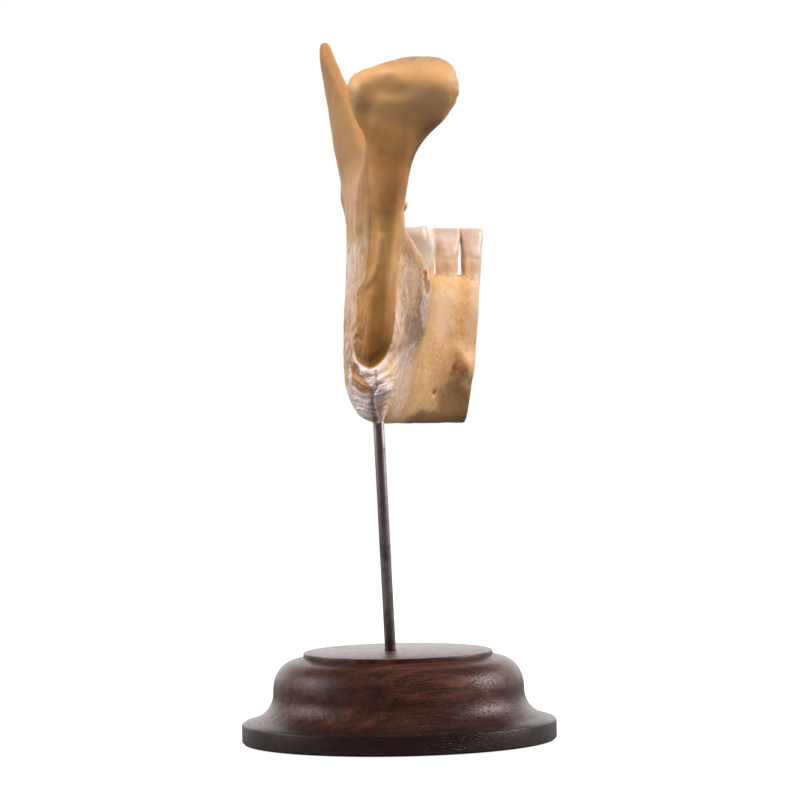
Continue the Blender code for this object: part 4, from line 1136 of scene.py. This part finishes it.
def wearCrown(bm, kind):
    # the flat worn top: a rim of enamel round dished dentine, or a dished enamel top on a cheek tooth
    top = max((f for f in bm.faces if len(f.verts) > 4), key=lambda f: f.calc_center_median().z)
    core = bm.verts.layers.float.new("dentine")
    bmesh.ops.inset_region(bm, faces=[top], thickness=tooth["enamelInset"] * mm, use_even_offset=True)
    for vert in top.verts:
        vert.co.z += tooth["enamelRise"] * mm
    bare = 1.0 if kind in ("incisor", "canine") else 0.0
    for _ in range(2):
        inset = tooth["dentineInset"] / 2 * mm
        bmesh.ops.inset_region(bm, faces=[top], thickness=inset, use_even_offset=True)
        for vert in top.verts:
            vert.co.z -= tooth["dentineDip"] * mm
            vert[core] = bare
    bmesh.ops.poke(bm, faces=[top])


def makeTooth(name, kind, middle, width, depth, turn):
    bm = bmesh.new()
    addLoft(bm, toothRings(kind, middle, width, depth, turn))
    wearCrown(bm, kind)
    bmesh.ops.recalc_face_normals(bm, faces=bm.faces)
    name = name.replace(" ", "_")
    made = newObject(name, meshFrom(bm, name))
    finer = made.modifiers.new("Finer", "SUBSURF")
    finer.levels = finer.render_levels = 1
    applyModifiers(made)
    surface = Surface(made.data)
    seed = middle[0] * 3.1
    surface.push(surface.rough(2.4, 3, seed) * tooth["wobble"])
    if kind in ("premolar", "molar"):
        shapeCusps(surface, kind, middle, width, depth, turn)
    height = surface.points[:, 2]
    surface.paint("crown", step(height + surface.rough(2, 2, seed + 5) * 0.8, 32.4, 35.0))
    edge = step(surface.points[:, 0] - middle[0], width * 0.22, width * 0.5)
    warm = tooth["warm"][kind] * (0.45 + 0.55 * edge)
    surface.paint("warm", warm + surface.rough(3, 2, seed + 9) * 0.3)
    surface.paint("gum", bell(height - 31.0, 2.0))
    made.data.transform(mountedJaw())
    made.data.shade_smooth()
    made.data.set_sharp_from_angle(angle=math.radians(70))
    return made


def shapeCusps(surface, kind, middle, width, depth, turn):
    outward, along = turned(turn)
    columns = (0,) if kind == "premolar" else (-0.24, 0.24)
    middle = np.array(middle + (tooth["crownTop"],))
    top = surface.faces((0, 0, 1), 0.3)
    rise = np.zeros(len(surface.points))
    reach = width * tooth["cuspReach"][kind]
    for deep in (0.24, -0.24):
        for wide in columns:
            at = middle + along * wide * width + outward * deep * depth
            rise += surface.near(at, (reach, reach, 3)) * tooth["cuspRise"]
    rise -= surface.near(middle, (width * 0.4, width * 0.4, 2)) * tooth["fissure"]
    surface.push(top * rise, (0, 0, 1))


def toothFinish():
    finish = Finish("worn enamel and root")
    at = finish.place()
    crown, gum, dentine, warm = finish.painted("crown", "gum", "dentine", "warm")
    streak = finish.noise(finish.stretched(at, (900, 900, 160)), 1.0, 3.0)
    cloud = finish.noise(at, 260.0, 3.0)
    enamel = finish.mix(cloud.between(0.35, 0.65), srgb(198, 172, 152), srgb(212, 190, 174))
    root = finish.mix(streak.between(0.35, 0.65), srgb(226, 194, 158), srgb(238, 216, 190))
    colour = finish.mix(crown, root, enamel)
    warmth = (warm * (0.5 + streak + (1 - crown) * 0.3)).between(0.1, 0.9)
    colour = finish.mix(warmth * 0.6, colour, srgb(212, 150, 90))
    colour = finish.mix((gum * (0.4 + cloud)).between(0.4, 1.0) * 0.4, colour, srgb(196, 120, 66))
    colour = finish.mix(dentine * 0.8, colour, srgb(186, 130, 78))
    relief = finish.bump(streak + cloud * 0.6, 0.0003, 0.25)
    finish.feed(Base_Color=colour, Roughness=0.46 - crown * 0.10 + cloud * 0.1, Normal=relief)
    finish.feed(Subsurface_Weight=0.15, Subsurface_Radius=(0.0012, 0.0008, 0.0005), Subsurface_Scale=1.0)
    return finish.material


def makeTeeth():
    material = toothFinish()
    for name, sizes in teeth.items():
        made = makeTooth(name, *sizes)
        made.data.materials.append(material)
        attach(made, "root")


def rodEnds():
    foot, head = Vector(mount["rodFoot"]), Vector(mount["rodHead"])
    upwards = (head - foot).normalized()
    return foot, head, upwards


def rodMesh(start, end, radius):
    bm = bmesh.new()
    length = (end - start).length
    wide = radius * mm
    made = bmesh.ops.create_cone(
        bm, cap_ends=True, segments=rod["sides"], radius1=wide, radius2=wide, depth=length * mm
    )
    turn = (end - start).to_track_quat("Z", "Y").to_matrix().to_4x4()
    place = Matrix.Translation((start + end) / 2 * mm) @ turn
    bmesh.ops.transform(bm, matrix=place, verts=made["verts"])
    return bm


def makeRod():
    foot, head, upwards = rodEnds()
    bm = rodMesh(foot - upwards * rod["inBase"], head + upwards * rod["inBone"], rod["radius"])
    rims = [e for e in bm.edges if len(e.link_faces) == 2 and e.calc_face_angle(0) > 1]
    bmesh.ops.bevel(bm, geom=rims, offset=0.12 * mm, affect="EDGES", segments=2, profile=0.5, material=-1)
    mesh = meshFrom(bm, "rod_finish")
    mesh.shade_smooth()
    mesh.set_sharp_from_angle(angle=math.radians(40))
    made = newObject("rod_finish", mesh)

    finish = Finish("drawn steel")
    at = finish.place()
    drawn = finish.noise(finish.stretched(at, (4000, 4000, 60)), 1.0, 3.0)
    tarnish = finish.noise(at, 300.0, 4.0)
    colour = finish.mix(tarnish.between(0.4, 0.7), srgb(150, 139, 137), srgb(108, 97, 95))
    rough = 0.26 + tarnish * 0.25 + drawn * 0.1
    finish.feed(Base_Color=colour, Metallic=1.0, Roughness=rough, Normal=finish.bump(drawn, 0.0001, 0.3))
    made.data.materials.append(finish.material)
    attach(made, "root")
    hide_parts("rod")


def baseProfile():
    # the turned outline from the top's centre down to the foot, as (radius, height)
    top, disc, bead = base["height"], base["discRadius"], base["beadRadius"]
    points = [(0.0, top), (disc - 0.35, top), (disc - 0.1, top - 0.08), (disc, top - 0.3)]
    points.append((disc, top - base["discStep"] + 0.1))
    rise = top - base["discStep"] - 0.3 - base["beadFoot"]
    for t in np.linspace(80, 0, 19):
        across, up = math.cos(math.radians(t)) ** 0.8, math.sin(math.radians(t)) ** 0.9
        points.append((disc + (bead - disc) * across, base["beadFoot"] + rise * up))
    width, drop = base["radius"] - 0.5 - bead, base["beadFoot"] - base["flangeHeight"]
    for t in np.linspace(6, 74, 13):
        across, down = 1 - math.cos(math.radians(t)), math.sin(math.radians(t))
        points.append((bead + width * across, base["beadFoot"] - drop * down))
    points.append((base["radius"] - 0.5, base["flangeHeight"] - 0.25))
    points.append((base["radius"] - 0.12, base["flangeHeight"] - 0.5))
    points.append((base["radius"], base["flangeHeight"] - 0.85))
    points.append((base["radius"], 0.4))
    points.append((base["radius"] - 0.35, 0.0))
    points.append((0.0, 0.0))
    return points


def makeBase():
    bm = bmesh.new()
    verts = [bm.verts.new((radius * mm, 0, height * mm)) for radius, height in baseProfile()]
    edges = [bm.edges.new(pair) for pair in zip(verts, verts[1:])]
    bmesh.ops.spin(
        bm,
        geom=verts + edges,
        axis=(0, 0, 1),
        cent=(0, 0, 0),
        angle=2 * math.pi,
        steps=base["steps"],
        use_merge=True,
    )
    bmesh.ops.remove_doubles(bm, verts=bm.verts, dist=1e-6)
    bmesh.ops.recalc_face_normals(bm, faces=bm.faces)
    made = newObject("base_finish", meshFrom(bm, "base_finish"))

    foot, _, upwards = rodEnds()
    bottom = foot - upwards * (rod["inBase"] + 0.3)
    drill = rodMesh(bottom, foot + upwards * 5, rod["radius"] + 0.25)
    cutter = newObject("rod_hole", meshFrom(drill, "rod_hole"))
    hole = made.modifiers.new("Rod hole", "BOOLEAN")
    hole.operation = "DIFFERENCE"
    hole.object = cutter
    applyModifiers(made)
    bpy.data.objects.remove(cutter)
    made.data.shade_smooth()
    made.data.set_sharp_from_angle(angle=math.radians(35))

    finish = Finish("oiled walnut")
    at = finish.place()

    def grain(scale, *settings):
        return finish.noise(finish.stretched(at, scale, base["grainTurn"]), 1.0, *settings)

    figure = grain((45, 700, 700), 5.0, 0.65, 0.3)
    band = grain((14, 110, 110), 4.0, 0.6, 0.6)
    fine = grain((260, 3800, 3800), 3.0, 0.7)
    pores = grain((500, 4200, 4200), 2.0).between(0.60, 0.70)
    colour = finish.mix(figure.between(0.35, 0.7), srgb(38, 20, 16), srgb(94, 50, 36))
    colour = finish.mix(band.between(0.42, 0.62) * 0.7, colour, srgb(34, 17, 14))
    colour = finish.mix(fine.between(0.5, 0.8) * 0.5, colour, srgb(116, 70, 50))
    # darker towards the foot, below the flange's top
    flange = finish.height(at).between(0.0062, 0.0036)
    colour = finish.mix(flange * 0.85, colour, srgb(20, 9, 7))
    colour = finish.mix(pores * 0.85, colour, srgb(14, 8, 7))
    relief = finish.bump(figure * 0.3 + fine * 0.4 - pores, 0.00025, 0.6)
    finish.feed(Base_Color=colour, Roughness=0.32 + figure * 0.12 + pores * 0.3, Normal=relief)
    finish.feed(Specular_IOR_Level=0.48, Specular_Tint=(1.0, 0.84, 0.80, 1.0))
    made.data.materials.append(finish.material)
    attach(made, "root")
    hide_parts("base")


studio = {
    "floorRadius": 0.5,
    "floorGlow": 0.88,
    "worldGlow": 0.12,
    "middle": (0, 0, 0.09),
    # each lamp: how far ahead of that middle, to its right and up, in metres, size and watts
    "lamps": {
        "key": ((-0.5, -0.05, 0.9), (1.1, 0.9), 17.0),
        "left_box": ((0.08, -0.7, 0.27), (0.22, 0.26), 2.6),
        "right_box": ((0.10, 0.7, 0.27), (0.22, 0.26), 4.4),
        "back_wall": ((1.1, 0.0, 0.2), (1.8, 0.55), 7.0),
    },
}


def cameraDirections():
    ahead, right = turned(camera["turn"])
    return Vector(ahead), Vector(right), Vector((0, 0, 1))


def makeStudio():
    bm = bmesh.new()
    bmesh.ops.create_circle(bm, cap_ends=True, segments=96, radius=studio["floorRadius"])
    floor = newObject("floor", meshFrom(bm, "floor"))
    floor.location.z = -0.0002
    finish = Finish("pale floor")
    seen = finish.node("ShaderNodeLightPath", {}, {}, output="Is Camera Ray")
    glow = finish.mix(seen, (0, 0, 0, 1), (1, 1, 1, 1))
    finish.feed(Base_Color=(0.22, 0.22, 0.22, 1.0), Roughness=0.8)
    finish.feed(Emission_Color=glow, Emission_Strength=studio["floorGlow"])
    floor.data.materials.append(finish.material)

    ahead, right, up = cameraDirections()
    for name, ((before, aside, above), (wide, tall), power) in studio["lamps"].items():
        offset = ahead * before + right * aside + up * above
        lamp = bpy.data.lights.new(name, "AREA")
        lamp.shape = "RECTANGLE"
        lamp.size = wide
        lamp.size_y = tall
        lamp.energy = power
        made = newObject(name, lamp)
        made.location = Vector(studio["middle"]) + offset
        made.rotation_euler = (-offset).to_track_quat("-Z", "Y").to_euler()
        made.visible_camera = False
        made.visible_glossy = name != "key"

    bpy.context.scene.view_settings.view_transform = "Standard"
    world = bpy.data.worlds.new("white studio")
    world.use_nodes = True
    nodes, links = world.node_tree.nodes, world.node_tree.links
    room = nodes["Background"]
    room.inputs["Color"].default_value = (1, 1, 1, 1)
    room.inputs["Strength"].default_value = studio["worldGlow"]
    backdrop = nodes.new("ShaderNodeBackground")
    backdrop.inputs["Color"].default_value = (1, 1, 1, 1)
    seen = nodes.new("ShaderNodeLightPath")
    pick = nodes.new("ShaderNodeMixShader")
    links.new(seen.outputs["Is Camera Ray"], pick.inputs[0])
    links.new(room.outputs[0], pick.inputs[1])
    links.new(backdrop.outputs[0], pick.inputs[2])
    links.new(pick.outputs[0], nodes["World Output"].inputs["Surface"])
    bpy.context.scene.world = world


def placeCamera():
    roll = math.radians(camera["roll"])
    focal, half = camera["focalPixels"], camera["pictureWidth"] / 2
    pitch = math.atan((half - camera["horizonRow"]) / focal)
    ahead, right, up = cameraDirections()
    forward = ahead * math.cos(pitch) - up * math.sin(pitch)
    level = up * math.cos(pitch) + ahead * math.sin(pitch)
    xAxis = right * math.cos(roll) - level * math.sin(roll)
    yAxis = level * math.cos(roll) + right * math.sin(roll)
    lens = bpy.data.cameras.new("camera")
    lens.sensor_width = camera["sensor"]
    lens.lens = focal / camera["pictureWidth"] * lens.sensor_width
    made = newObject("camera", lens)
    place = (right * camera["aside"] - ahead * camera["distance"] + up * camera["height"]) * mm
    made.matrix_world = Matrix.Translation(place) @ Matrix((xAxis, yAxis, -forward)).transposed().to_4x4()
    bpy.context.scene.camera = made


print("jawbone")
makeBone()
print("teeth")
makeTeeth()
print("rod and base")
makeRod()
makeBase()
print("studio")
makeStudio()
placeCamera()
